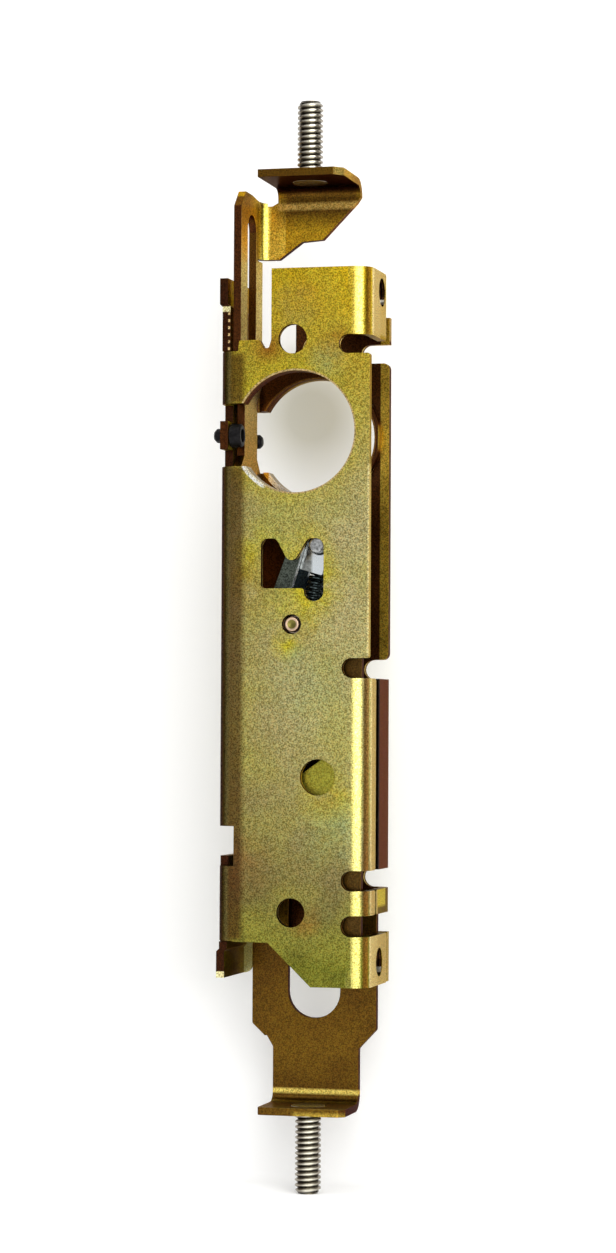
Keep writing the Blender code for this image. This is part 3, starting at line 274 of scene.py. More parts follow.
class Graph:
    """A material's nodes, added one call at a time."""

    def __init__(self, name):
        self.material = bpy.data.materials.new(name)
        self.material.use_nodes = True
        self.nodes = self.material.node_tree.nodes
        self.links = self.material.node_tree.links
        self.shader = self.nodes["Principled BSDF"]

    def add(self, kind, **inputs):
        """A new node, whose inputs are named with _ for a space."""
        node = self.nodes.new(kind)
        for key, value in inputs.items():
            self.join(value, node.inputs[key.replace("_", " ")])
        return node

    def join(self, value, socket):
        """Links an output to a socket, or sets the socket to a value."""
        if hasattr(value, "is_output"):
            self.links.new(value, socket)
        elif hasattr(value, "__len__") and len(value) == 3 and socket.type == "RGBA":
            socket.default_value = (*value, 1.0)
        else:
            socket.default_value = value

    def math(self, operation, a, b=0.0):
        node = self.nodes.new("ShaderNodeMath")
        node.operation = operation
        self.join(a, node.inputs[0])
        self.join(b, node.inputs[1])
        return node.outputs[0]

    def times(self, a, b):
        return self.math("MULTIPLY", a, b)

    def where(self):
        """The shaded point in the model's frame."""
        return self.nodes.new("ShaderNodeTexCoord").outputs["Object"]

    def place(self):
        """The x, y and z of the shaded point in the model's frame."""
        return self.add("ShaderNodeSeparateXYZ", Vector=self.where()).outputs

    def noise(self, scale, detail=2.0, stretch=(1, 1, 1), offset=(0, 0, 0)):
        """A noise value from 0 to 1 whose cells are scale millimetres across."""
        mapping = self.add("ShaderNodeMapping", Vector=self.where(), Scale=stretch, Location=offset)
        fine = 1 / (scale * MM)
        cells = self.add("ShaderNodeTexNoise", Vector=mapping.outputs[0], Scale=fine, Detail=detail)
        return cells.outputs[0]

    def ramp(self, value, low, high):
        """0 at low to 1 at high."""
        node = self.add("ShaderNodeMapRange", Value=value)
        node.inputs["From Min"].default_value = low
        node.inputs["From Max"].default_value = high
        return node.outputs[0]

    def grow(self, length, none, full):
        """0 where a length is none millimetres to 1 where it is full millimetres."""
        return self.ramp(length, none * MM, full * MM)

    def stripes(self, value, pitch):
        """A wave from -1 to 1 along a value, pitch millimetres long."""
        return self.math("SINE", self.times(value, 2 * math.pi / (pitch * MM)))

    def mix(self, share, a, b, blend="MIX"):
        node = self.nodes.new("ShaderNodeMix")
        node.data_type, node.blend_type = "RGBA", blend
        self.join(share, node.inputs[0])
        self.join(a, node.inputs[6])
        self.join(b, node.inputs[7])
        return node.outputs[2]

    def scaled(self, colour, factors):
        """The colour with each channel multiplied by its factor."""
        return self.mix(1.0, colour, factors, "MULTIPLY")

    def vector(self, operation, a, b):
        node = self.nodes.new("ShaderNodeVectorMath")
        node.operation = operation
        self.join(a, node.inputs[0])
        self.join(b, node.inputs[1])
        return node.outputs["Value"]

    def near(self, point, reach, fade):
        """1 within reach of a point in the cylinder's frame, 0 beyond fade."""
        distance = self.vector("DISTANCE", self.where(), (Vector(point) + LOCAL) * MM)
        return self.grow(distance, fade, reach)

    def from_axis(self, along, middle):
        """The distance from the axis that runs through middle along x, y or z: 0, 1 or 2."""
        flat = self.nodes.new("ShaderNodeCombineXYZ")
        for k, value in enumerate(self.place()):
            if k != along:
                self.join(value, flat.inputs[k])
        return self.vector("DISTANCE", flat.outputs[0], middle)

    def facing(self, way, low=0.35, high=0.8):
        """1 where the surface faces the given way, 0 where it faces off it."""
        normal = self.nodes.new("ShaderNodeTexCoord").outputs["Normal"]
        return self.ramp(self.vector("DOT_PRODUCT", normal, Vector(way).normalized()), low, high)

    def within(self, low, high, fade=0.25):
        """1 inside a box in the cylinder's frame, with soft sides. None leaves a side open."""
        share = 1.0
        for k, value in enumerate(self.place()):
            for limit, sign in ((low[k], 1), (high[k], -1)):
                if limit is not None:
                    edge = (limit + LOCAL[k]) * MM
                    soft = sign * fade * MM / 2
                    share = self.times(self.ramp(value, edge - soft, edge + soft), share)
        return share

    def patch(self, colour, tint, way=None, low=None, high=None, fade=0.25, share=1.0, cut=(0.35, 0.8)):
        """The colour with a tint laid over the faces that look one way, inside a box, or both."""
        if way is not None:
            share = self.times(self.facing(way, *cut), share)
        if low is not None:
            share = self.times(self.within(low, high, fade), share)
        return self.mix(share, colour, tint)

    def finish(self, colour, roughness, metallic=1.0, bump=None, depth=0.0, coat=0.0):
        """Sets the surface, with bumps that are depth millimetres deep, and gives the material."""
        self.join(colour, self.shader.inputs["Base Color"])
        self.join(roughness, self.shader.inputs["Roughness"])
        self.shader.inputs["Metallic"].default_value = metallic
        self.shader.inputs["Coat Weight"].default_value = coat
        self.shader.inputs["Coat Roughness"].default_value = COAT_ROUGHNESS
        if bump is not None:
            node = self.add("ShaderNodeBump", Height=bump)
            node.inputs["Distance"].default_value = depth * MM
            self.links.new(node.outputs[0], self.shader.inputs["Normal"])
        return self.material


def towards(turn):
    """The way a surface looks when it turns this many degrees from the near side to the front."""
    return (math.sin(math.radians(turn)), -math.cos(math.radians(turn)), 0)


def by_height(g, stops):
    """A colour that goes through (height, colour) stops from the bottom up."""
    height = g.place()[2]
    colour = stops[0][1]
    for (low, _), (high, after) in zip(stops, stops[1:]):
        colour = g.mix(g.grow(height, low + LOCAL.z, high + LOCAL.z), colour, after)
    return colour


def mottled(g, colour, cloud_tint, clouds):
    """Wide soft clouds of another tint, and a few finer ones that are darker."""
    cloud = g.ramp(g.noise(14, 3), 0.38, 0.66)
    colour = g.mix(g.times(cloud, clouds), colour, cloud_tint)
    fine = g.ramp(g.noise(3.5, 3, offset=(0.3, 0, 0)), 0.45, 0.75)
    return g.mix(g.times(fine, 0.25), colour, g.scaled(colour, (0.72, 0.66, 0.5)))


def grained(g, colour, strength):
    """The film's speckle, a third of a millimetre across and of two tints, and fine scratches."""
    grain = g.ramp(g.noise(0.3, 4), 0.38, 0.62)
    coarse = g.ramp(g.noise(0.75, 3, offset=(0, 0, 0.7)), 0.35, 0.65)
    dark = g.scaled(colour, g.mix(coarse, (0.30, 0.26, 0.22), (0.52, 0.50, 0.46)))
    light = g.scaled(colour, g.mix(coarse, (1.60, 1.66, 1.70), (1.80, 1.72, 2.0)))
    colour = g.mix(strength, colour, g.mix(grain, dark, light))
    cool = g.ramp(g.noise(0.55, 2, offset=(0.4, 0.1, 0)), 0.4, 0.6)
    tinted = g.scaled(colour, g.mix(cool, (1.14, 0.93, 0.66), (0.86, 1.06, 1.2)))
    colour = g.mix(0.3, colour, tinted)
    scratch = g.ramp(g.noise(0.5, 1, stretch=(1, 1, 0.05), offset=(0.1, 0, 0.2)), 0.73, 0.77)
    return g.mix(g.times(scratch, 0.3), colour, g.scaled(colour, (1.7, 1.7, 1.8)))


def film(g, colour, strength=0.8):
    """Finishes a zinc film of this colour."""
    rough = g.math("ADD", FILM_ROUGHNESS, g.times(g.noise(3, 3), 0.14))
    g.shader.inputs["Specular Tint"].default_value = (*GRAZING, 1)
    return g.finish(grained(g, colour, strength), rough, bump=g.noise(0.45, 2), depth=0.03, coat=0.08)


def case_finish():
    """The case's film, with each step laid over the ones before it."""
    g = Graph("case_zinc")
    colour = case_film(g)
    colour = rear_bend(g, colour)
    colour = insides(g, colour)
    colour = cut_edges(g, colour)
    colour = front_bend(g, colour)
    colour = hole_walls(g, colour)
    colour = screw_holes(g, colour)
    colour = collar_bore(g, colour)
    colour = tongue_ends(g, colour)
    return film(g, colour)


def case_film(g):
    """Gold at the top to green at the foot, browner to the rear, with clouds and tinted spots."""
    colour = by_height(g, CASE_STOPS)
    to_rear = g.grow(g.place()[0], 6 + LOCAL.x, -18 + LOCAL.x)
    colour = g.mix(g.times(to_rear, 0.9), colour, g.scaled(colour, (0.84, 0.80, 0.62)))
    colour = mottled(g, colour, CLOUD_OLIVE, 0.4)
    for point, reach, fade, tint, share in CASE_HALOS:
        spot = g.times(g.near(point, reach, fade), g.ramp(g.noise(5, 3), 0.25, 0.6))
        colour = g.mix(g.times(spot, share), colour, tint)
    return colour


def rear_bend(g, colour):
    """Painted shade in brown on edges that look back, a painted reflection as an olive stripe and painted
    shade in creases on the bend, and painted shade on its dark outer side.
    """
    colour = g.patch(colour, EDGE_SHADE_BROWN, REAR, (-17.6, None, None), OPEN, cut=(0.05, 0.6))
    colour = g.patch(colour, REFLECTED_STRIPE_OLIVE, towards(-36), cut=(0.9, 0.97), share=0.7)
    for low, high in ((-122, -8.2), (7, 19)):
        crease = (-16.4, -13.6, low), (-12.6, -11.9, high)
        colour = g.patch(colour, EDGE_SHADE_BROWN, NEAR, *crease, fade=1.6, share=0.75, cut=(0.85, 0.95))
    return g.patch(colour, BEND_SHADE_BLACK, None, (None, -12.4, None), (-17.4, -9.6, None), 0.8, 0.85)


def insides(g, colour):
    """The far plate's inside is olive; the near plate's and the tongues' are brown with painted shade."""
    colour = g.patch(colour, INSIDE_OLIVE, NEAR, (None, 0, None), OPEN)
    colour = g.patch(colour, INSIDE_SHADE_BROWN, FAR, OPEN, (None, 0, None))
    return g.patch(colour, DEEP_SHADE_BROWN, NEAR, (None, -11, None), (-15.4, 11, None))


def cut_edges(g, colour):
    """Painted shade on the edges of the ears and the far plate and on all that lies between the plates, and
    a painted highlight on the near flange's edge.
    """
    colour = g.patch(colour, EDGE_SHADE_BROWN, NEAR, (None, -11.5, -4.3), (-16.9, -10, 3.3))
    colour = g.patch(colour, EDGE_SHADE_OLIVE, FRONT, (11, 10.6, -54), OPEN)
    colour = g.patch(colour, EDGE_HIGHLIGHT_PALE, None, (18.0, None, -54), (None, 0, -8), 0.3, 0.9)
    return g.patch(colour, INSIDE_SHADE_BROWN, None, (-15.4, -10.9, None), (15.6, 10.9, None))


def front_bend(g, colour):
    """A painted highlight makes the near bend pale, then a painted dark reflection makes it brown before the
    flange, which a painted reflection makes pale; the far flange is brown with painted shade, and painted
    shade fills the gap between them.
    """
    bend = (13, -12.8, None), (19, -8, None)
    pale = g.mix(0.5, colour, BEND_HIGHLIGHT_YELLOW)
    colour = g.patch(colour, pale, towards(20), *bend, cut=(0.95, 0.99))
    brown = g.mix(0.75, colour, BEND_REFLECTION_BROWN)
    colour = g.patch(colour, brown, towards(55), *bend, cut=(0.965, 0.992))
    for low, high, far in ((None, None, -1.8), (None, -116, 12.8), (24, None, 12.8)):
        colour = g.patch(colour, FLANGE_REFLECTION_PALE, FRONT, (17.5, -9.5, low), (None, far, high), 0.8, 0.75)
    colour = g.patch(colour, FLANGE_YELLOW, FRONT, (17.5, -2.2, -114), (None, 6, -104), 0.8)
    colour = g.patch(colour, FLANGE_SHADE_BROWN, FRONT, (17, -2.2, -106), (None, 12.8, -58), 0.3)
    return g.patch(colour, GAP_SHADE_BLACK, None, (17, -2.2, -106), (None, -0.8, -58), 0.5)


def hole_walls(g, colour):
    """The sheet's cut walls, dark with painted shade, and a pale painted highlight on the arris on the
    inside.
    """
    for side in (-1, 1):
        low, high = sorted((side * 12.5, side * 10.95))
        for way in (FRONT, UP, DOWN):
            colour = g.patch(colour, EDGE_SHADE_BROWN, way, (-15, low, -125), (14, high, 36), 0.1, 0.9)
        low, high = sorted((side * 11.6, side * 10.5))
        colour = g.patch(colour, EDGE_HIGHLIGHT_PALE, FRONT, (-15, low, -125), (14, high, 36), 0.1, 0.8)
    return colour


def screw_holes(g, colour):
    """The tabs' threaded holes, with thread lines in painted shade and a painted glint low on their far
    side.
    """
    thread = g.ramp(g.stripes(g.place()[0], SCREW_PITCH), 0.3, 0.9)
    lined = g.mix(thread, srgb(30, 12, 6), srgb(96, 62, 26))
    off_face = g.math("SUBTRACT", 1.0, g.facing(FRONT, 0.3, 0.6))
    for low, high in SCREW_HOLES_Z:
        hole = g.within((15.5, -4, low), (18.2, 4, high), 0.1)
        colour = g.mix(g.times(hole, off_face), colour, lined)
        lit = g.times(hole, g.facing((0, -0.8, 0.6), 0.965, 0.985))
        colour = g.mix(lit, colour, SCREW_GLINT)
    return colour


def collar_bore(g, colour):
    """The inside of both collars: brown with thread lines in painted shade, a painted highlight where it
    looks up to the light, painted light on the far collar's top, and a painted highlight round the near rim.
    """
    inner, outer = BORE_WALL
    across = g.from_axis(1, (LOCAL.x * MM, 0, LOCAL.z * MM))
    bore = g.times(g.grow(across, outer, outer - 0.1), g.grow(across, inner, inner + 0.1))
    thread = g.ramp(g.stripes(g.place()[1], CYLINDER_PITCH), -0.2, 0.6)
    lined = g.mix(thread, srgb(60, 30, 12), srgb(128, 92, 44))
    colour = g.mix(g.times(bore, 0.9), colour, lined)
    lit = g.times(bore, g.facing((0.69, 0, 0.72), 0.82, 0.93))
    colour = g.mix(lit, colour, BORE_GLINT)
    far_top = g.times(g.within((None, 10.6, None), OPEN), g.facing((0.1, 0, -1), 0.75, 0.95))
    colour = g.mix(g.times(bore, far_top), colour, WALL_LIT_GOLD)
    colour = collar_glints(g, colour, across)
    rim = g.within((-16, -12.75, -16), (16, -12.1, 16), 0.4)
    ring = g.times(g.grow(across, outer, outer - 0.15), rim)
    return g.mix(g.times(ring, 0.8), colour, RIM_HIGHLIGHT_PALE)


def collar_glints(g, colour, across):
    """Painted glints, as from the window, on the rims at the opening's lower rear, and a painted gold
    highlight beside them.
    """
    colour = g.patch(colour, COLLAR_HIGHLIGHT_GOLD, NEAR, (-16, 2, -16), (-3, 10.5, -6), 0.5)
    far = g.times(g.grow(across, 16.0, 15.8), g.within((-12, 2, -16), (-3, 12.8, -7), 0.5))
    near = g.times(g.grow(across, 15.8, 15.5), g.near((-10.6, NEAR_Y, -10.9), 3.2, 4.2))
    return g.mix(g.math("MAXIMUM", far, near), colour, RIM_GLINT)


def tongue_ends(g, colour):
    """The step under each tongue's head is a pale cut end, and the neck's edge is dashed."""
    for low, high in TONGUE_STEPS_Z:
        colour = g.patch(colour, END_PALE, NEAR, (-20.5, -11, low), (-15.4, 11, high), 0.2)
    dashes = g.ramp(g.stripes(g.place()[2], DASH_PITCH), 0.1, 0.5)
    neck = g.within((-17.7, -11, 18), (-17.2, -9, 29.5), 0.1)
    return g.mix(g.times(dashes, neck), colour, DASH_PALE)


def top_link_finish():
    """Gold, with a khaki front painted lighter as its lit side, brown edges of painted shade, a painted
    highlight on the bend, and a panel dark with painted shade under a golden fold with a painted highlight.
    """
    g = Graph("top_link_zinc")
    colour = mottled(g, srgb(176, 140, 28), srgb(150, 104, 20), 0.5)
    colour = g.patch(colour, by_height(g, LIT_KHAKI_STOPS), FRONT)
    bend = (-16, 4, 40), (-8, 10.5, 60)
    colour = g.patch(colour, BEND_HIGHLIGHT_GOLD, (0.6, -0.8, 0), *bend, cut=(0.78, 0.96))
    colour = g.patch(colour, EDGE_SHADE_BROWN, NEAR, OPEN, (-13.5, 4, 58))
    colour = g.patch(colour, EDGE_SHADE_BROWN, DOWN)
    colour = g.patch(colour, DEEP_SHADE_BROWN, NEAR, (None, None, 61), (9, None, None), 0.5, 0.8)
    panel = (-10, 0, 53.5), (12, None, 64)
    colour = g.patch(colour, SHADE_BROWN, NEAR, *panel, fade=5, share=0.85, cut=(-0.5, 0.2))
    fold = (-10, 0, 56.6), (12.8, None, 58.2)
    colour = g.patch(colour, FOLD_HIGHLIGHT_GOLD, None, *fold, fade=0.8, share=0.8)
    return film(g, colour)


def bottom_link_finish():
    """Brown, with a painted golden reflection on top of the foot, painted shade on faces to the front, a
    painted yellow highlight on the fold and a painted gold highlight on the foot's near edge.
    """
    g = Graph("bottom_link_zinc")
    colour = mottled(g, srgb(104, 76, 18), srgb(80, 52, 14), 0.7)
    colour = g.patch(colour, FOOT_REFLECTION_GOLD, UP, (None, None, -166), (None, None, -162), share=0.5)
    colour = g.patch(colour, EDGE_SHADE_BROWN, FRONT, share=0.8)
    colour = g.patch(colour, FOLD_HIGHLIGHT_YELLOW, None, (None, None, -160.4), (None, None, -159.3), 0.6, 0.8)
    colour = g.patch(colour, EDGE_HIGHLIGHT_GOLD, NEAR, (-1, None, -167), (None, 0, -163.5), 1.0, 0.6)
    return film(g, colour, 0.7)


def lip_finish():
    g = Graph("lip_zinc")
    return film(g, mottled(g, srgb(172, 172, 124), srgb(142, 134, 84), 0.3), 0.5)


def inner_plate_finish():
    """Dark brown with painted shade, and olive in the hole that it is seen through."""
    g = Graph("inner_plate_zinc")
    colour = mottled(g, srgb(84, 62, 24), srgb(60, 38, 16), 0.5)
    seen = g.grow(g.place()[0], 12 + LOCAL.x, 9 + LOCAL.x)
    colour = g.mix(g.times(seen, g.near((6, -9.2, -84), 5, 9)), colour, srgb(152, 146, 52))
    return film(g, colour, 0.6)


def plain_metal(name, colour, roughness, variation, grain=0.6, touch=None):
    """Bare or plated metal; touch(g, colour) adds what only this one has."""
    g = Graph(name)
    dark = tuple(c * (1 - variation) for c in colour)
    light = tuple(min(1.0, c * (1 + variation)) for c in colour)
    shade = g.mix(g.ramp(g.noise(grain, 3), 0.3, 0.7), dark, light)
    if touch:
        shade = touch(g, shade)
    rough = g.math("ADD", roughness, g.times(g.noise(2, 2), 0.1))
    return g.finish(shade, rough, bump=g.noise(grain, 2), depth=0.01)


def edge_highlights(g, colour):
    """Painted highlights on the edges that look to the front and down, square to the lever's lean."""
    lean = (math.cos(LEAN), 0, -math.sin(LEAN))
    return g.patch(colour, STEEL_GLINT, lean, cut=(0.9, 0.97))


def block_face(g, colour):
    """A bright facet of painted highlight, beside a dark ring of painted shade round the pin."""
    facet = (2.9, None, -34.5), (6.5, None, -29)
    colour = g.patch(edge_highlights(g, colour), srgb(236, 243, 247), None, *facet, fade=0.6)
    return g.mix(g.near(PIN_END, 2.15, 2.35), colour, RING_SHADE_BLACK)


def thread_roots(g, colour):
    """The studs' thread is darkened with painted shade, has a bright streak of painted highlight ahead and
    painted shade at its root.
    """
    across = g.from_axis(2, (0, 0, 0))
    root = g.times(g.grow(across, 3.05, 2.55), g.grow(across, 2.3, 2.4))
    beside = g.math("ABSOLUTE", g.math("SUBTRACT", g.place()[0], 0.9 * MM))
    streak = g.times(g.grow(beside, 1.9, 0.7), 0.7)
    colour = g.mix(streak, g.mix(0.55, colour, STEEL_SHADE), srgb(252, 248, 232))
    return g.mix(g.times(root, 0.85), colour, ROOT_SHADE_BLACK)


def pivot_end(g, colour):
    """A beige rim round an olive dimple with a painted glint in it."""
    middle = (PIVOT[0], PIVOT_END_Y, PIVOT[1])
    colour = g.mix(g.near(middle, 1.9, 2.0), colour, RIVET_BEIGE)
    colour = g.mix(g.near(middle, 1.0, 1.25), colour, DIMPLE_OLIVE)
    return g.mix(g.near(middle, 0.1, 0.3), colour, srgb(226, 220, 150))


def finishes():
    """The finish of each CAD node: its own, or the one of its material slot."""
    return {
        "case": case_finish(),
        "top_link": top_link_finish(),
        "bottom_link": bottom_link_finish(),
        "bottom_link_inner_plate": inner_plate_finish(),
        "lever_plate_near": plain_metal("cheek_zinc", srgb(78, 84, 76), 0.3, 0.85, 0.3, edge_highlights),
        "lever_plate_far": plain_metal("far_cheek_zinc", srgb(60, 74, 82), 0.3, 0.6, 0.4),
        "detent_block": plain_metal("block_zinc", srgb(140, 143, 140), 0.2, 0.6, 0.9, block_face),
        "detent_pin": plain_metal("detent_pin_steel", srgb(172, 174, 174), 0.25, 0.6),
        "detent_spring": plain_metal("spring_steel", srgb(74, 84, 84), 0.25, 0.4),
        "pivot_pin": plain_metal("pivot_steel", srgb(196, 178, 160), 0.3, 0.2, touch=pivot_end),
        "tongue_lip": lip_finish(),
        "zinc_silver": plain_metal("silver_zinc", srgb(124, 134, 140), 0.22, 0.55, 0.4),
        "bright_steel": plain_metal("bright_steel", srgb(200, 192, 180), 0.2, 0.12, 0.5, thread_roots),
        "black_oxide": plain_metal("black_oxide", srgb(34, 33, 34), 0.45, 0.3),
    }


def node_facts(frame):
    """For each CAD node, its body and its material slot."""
    record = frame["record"]
    body = {n: b for b, nodes in record["behaviour"]["bodies"].items() for n in nodes}
    return {s["node"]: (body[s["node"]], s["material_slot"]) for s in record["subparts"]}


def shape(name, bm, material, sharp=None):
    """A smooth-shaded object made of bm; edges that turn by more than sharp stay sharp."""
    mesh = bpy.data.meshes.new(name)
    bm.to_mesh(mesh)
    bm.free()
    mesh.shade_smooth()
    if sharp is not None:
        mesh.set_sharp_from_angle(angle=sharp)
    mesh.materials.append(material)
    obj = bpy.data.objects.new(name, mesh)
    bpy.context.scene.collection.objects.link(obj)
    return obj


def piece(name, bm, body, material):
    """An object of the lock that rides on a body."""
    bmesh.ops.recalc_face_normals(bm, faces=bm.faces)
    obj = shape(name, bm, material, SMOOTH_ANGLE)
    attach(obj, body)
    return obj


def skin(name, frame, facts, materials, width):
    """A bevelled, smooth-shaded copy of a CAD node that stands for it."""
    body, slot = facts[name]
    bm = bmesh.new()
    bm.from_mesh(frame["nodes"][name].data)
    bmesh.ops.remove_doubles(bm, verts=bm.verts, dist=2e-6)
    bmesh.ops.dissolve_limit(bm, angle_limit=FLAT_ANGLE, verts=bm.verts, edges=bm.edges)
    obj = shape(name + "_skin", bm, materials.get(name) or materials[slot], SMOOTH_ANGLE)
    bevel = obj.modifiers.new("edge", "BEVEL")
    bevel.width = width * MM
    bevel.segments = 2
    bevel.limit_method = "ANGLE"
    bevel.angle_limit = BEVEL_ANGLE
    bevel.harden_normals = True
    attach(obj, body)
    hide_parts(name)
    return obj


def make_ring(bm, z, radius, steps):
    """A circle of points about the z axis."""
    turns = (2 * math.pi * i / steps for i in range(steps))
    return [bm.verts.new((radius * math.cos(t), radius * math.sin(t), z)) for t in turns]


def thread_turn(bm, row, low, high, way):
    """One line of a thread, once round: row counts the lines from a pitch below low."""
    pitch, crest, root = STUD_PITCH * MM, STUD_R * MM, STUD_CORE_R * MM
    phase = abs((row / THREAD_ROWS) % 1 - 0.5) * 2
    depth = (crest - root) * min(1.0, phase * 1.35)
    line = []
    for i in range(THREAD_STEPS + 1):
        turn = i / THREAD_STEPS
        z = low + pitch * (row / THREAD_ROWS - 1 + turn)
        z = min(max(z, low), high)
        to_end = (high - z) if way > 0 else (z - low)
        radius = min(root + depth, crest - STUD_CHAMFER * MM + to_end)
        angle = 2 * math.pi * turn
        line.append(bm.verts.new((radius * math.cos(angle), radius * math.sin(angle), z)))
    return line


def threaded_shank(name, low, high, way, material):
    """A threaded shaft about the z axis, chamfered at the end that way points to."""
    bm = bmesh.new()
    count = int((high - low) / (STUD_PITCH * MM) * THREAD_ROWS) + 2 * THREAD_ROWS
    grid = [thread_turn(bm, row, low, high, way) for row in range(count)]
    for lower, upper in zip(grid, grid[1:]):
        for i in range(THREAD_STEPS):
            bm.faces.new((lower[i], lower[i + 1], upper[i + 1], upper[i]))
    for z in (low, high):
        bm.faces.new(make_ring(bm, z, STUD_CORE_R * MM, THREAD_STEPS))
    bmesh.ops.remove_doubles(bm, verts=bm.verts, dist=1e-6)
    bmesh.ops.recalc_face_normals(bm, faces=bm.faces)
    return shape(name, bm, material, THREAD_SMOOTH_ANGLE)


def draw_in(head, middle, tip, way):
    """Draws a stud's plain shank in until its thread hides it."""
    share = (STUD_CORE_R - 0.1) / STUD_R
    for vert in head.data.vertices:
        offset = Vector((vert.co.x - middle, vert.co.y))
        if offset.length < STUD_REACH * MM:
            vert.co.x = middle + offset.x * share
            vert.co.y = offset.y * share
            if abs(vert.co.z - tip) < 1e-5:
                vert.co.z -= way * 0.05 * MM


def stud_threads(frame, facts, materials):
    """Threaded shanks over the plain ones of the model, whose heads stay."""
    for name, way in (("top_stud", 1), ("bottom_stud", -1)):
        low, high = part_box(name)
        body, slot = facts[name]
        start, end = (low[2] + STUD_HEAD * MM, high[2]) if way > 0 else (low[2], high[2] - STUD_HEAD * MM)
        shank = threaded_shank(name + "_thread", start, end, way, materials.get(name) or materials[slot])
        shank.location = ((low[0] + high[0]) / 2, 0, 0)
        head = skin(name, frame, facts, materials, BEVEL_SMALL)
        draw_in(head, shank.location.x, high[2] if way > 0 else low[2], way)
        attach(shank, body)


def on_lever(side, y, up):
    """A point given from the pivot along the lever as it leans, in the model's frame."""
    x = PIVOT[0] + side * math.cos(LEAN) + up * math.sin(LEAN)
    z = PIVOT[1] - side * math.sin(LEAN) + up * math.cos(LEAN)
    return (Vector((x, y, z)) + LOCAL) * MM


def bridge(bm, ring, following):
    """Faces between two closed rings of as many points."""
    count = len(ring)
    for i in range(count):
        after = (i + 1) % count
        bm.faces.new((ring[i], ring[after], following[after], following[i]))


def tube_along(bm, points, radius, sides=10):
    """A round bar along points, with flat ends."""
    turns = [2 * math.pi * i / sides for i in range(sides)]
    rings = []
    for k, here in enumerate(points):
        ahead = (points[min(k + 1, len(points) - 1)] - points[max(k - 1, 0)]).normalized()
        level = ahead.cross(Vector(FAR) if abs(ahead.y) < 0.9 else Vector(FRONT)).normalized()
        up = level.cross(ahead)
        rings.append([bm.verts.new(here + (level * math.cos(t) + up * math.sin(t)) * radius) for t in turns])
    for ring, following in zip(rings, rings[1:]):
        bridge(bm, ring, following)
    bm.faces.new(rings[0])
    bm.faces.new(rings[-1])


def slab(bm, corners):
    """A solid between two outlines of as many corners."""
    near, far = ([bm.verts.new(corner) for corner in outline] for outline in corners)
    bm.faces.new(near)
    bm.faces.new(far[::-1])
    bridge(bm, near, far)


def spring(facts, materials):
    """The detent's spring and the pin that guides it."""
    body, slot = facts["lever_hub"][0], facts["detent_spring"][1]
    low, high = SPRING_ENDS
    steps = int(SPRING_COILS * SPRING_STEPS)
    points = []
    for k in range(steps + 1):
        turn = 2 * math.pi * SPRING_COILS * k / steps
        up = low + (high - low) * k / steps
        points.append(on_lever(SPRING_R * math.cos(turn), SPRING_R * math.sin(turn), up))
    bm = bmesh.new()
    tube_along(bm, points, SPRING_WIRE_R * MM)
    coil = piece("detent_spring_coil", bm, body, materials["detent_spring"])
    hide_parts("detent_spring")
    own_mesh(coil)
    bm = bmesh.new()
    tube_along(bm, [on_lever(0, 0, up) for up in GUIDE_ENDS], GUIDE_R * MM, 20)
    piece("spring_guide", bm, body, materials["detent_spring"])


def fork_back(facts, materials):
    """The dark plate seen behind the spring."""
    body, slot = facts["lever_hub"]
    (rear, front), (low, high) = BACK_SIDE, BACK_UP
    corners = ((rear, low), (front, low), (front, high), (rear, high))
    bm = bmesh.new()
    slab(bm, [[on_lever(side, y, up) for side, up in corners] for y in BACK_Y])
    piece("fork_back", bm, body, materials["lever_plate_far"])


def tongue_lip(facts, materials):
    """The lip on the far side of the lower tongue, with a round end."""
    body, slot = facts["case"]
    (back, front), (low, high) = LIP_X, LIP_Z
    outline = [(back, high), (back, low), (front - LIP_R, low)]
    for k in range(1, LIP_STEPS + 1):
        turn = math.pi / 2 * k / LIP_STEPS
        outline.append((front - LIP_R + LIP_R * math.sin(turn), low + LIP_R - LIP_R * math.cos(turn)))
    outline.append((front, high))
    bm = bmesh.new()
    slab(bm, [[(Vector((x, y, z)) + LOCAL) * MM for x, z in outline] for y in LIP_Y])
    piece("lower_tongue_lip", bm, body, materials["tongue_lip"])


def sweep():
    """The profile in (y, z) of the white sheet that the lock stands on and before."""
    profile = [(-SHEET_REACH, SHEET_FOOT_Z), (SHEET_FRONT_Y, SHEET_FOOT_Z)]
    deep, tall = SHEET_WALL_Y - SHEET_FRONT_Y, SHEET_FOLD_Z - SHEET_FOOT_Z
    for k in range(1, SHEET_STEPS + 1):
        share = k / SHEET_STEPS
        ease = share * share * (3 - 2 * share)
        profile.append((SHEET_FRONT_Y + deep * share, SHEET_FOOT_Z + tall * ease))
    profile.append((SHEET_WALL_Y, SHEET_TOP_Z))
    return profile


def backdrop():
    """The white sheet that the lock stands on and before."""
    bm = bmesh.new()
    rows = []
    for y, z in sweep():
        ends = ((x + LOCAL.x, y, z + LOCAL.z) for x in (-SHEET_REACH, SHEET_REACH))
        rows.append([bm.verts.new(Vector(end) * MM) for end in ends])
    for (a, b), (c, d) in zip(rows, rows[1:]):
        bm.faces.new((a, b, d, c))
    obj = shape("backdrop", bm, sheet_material())


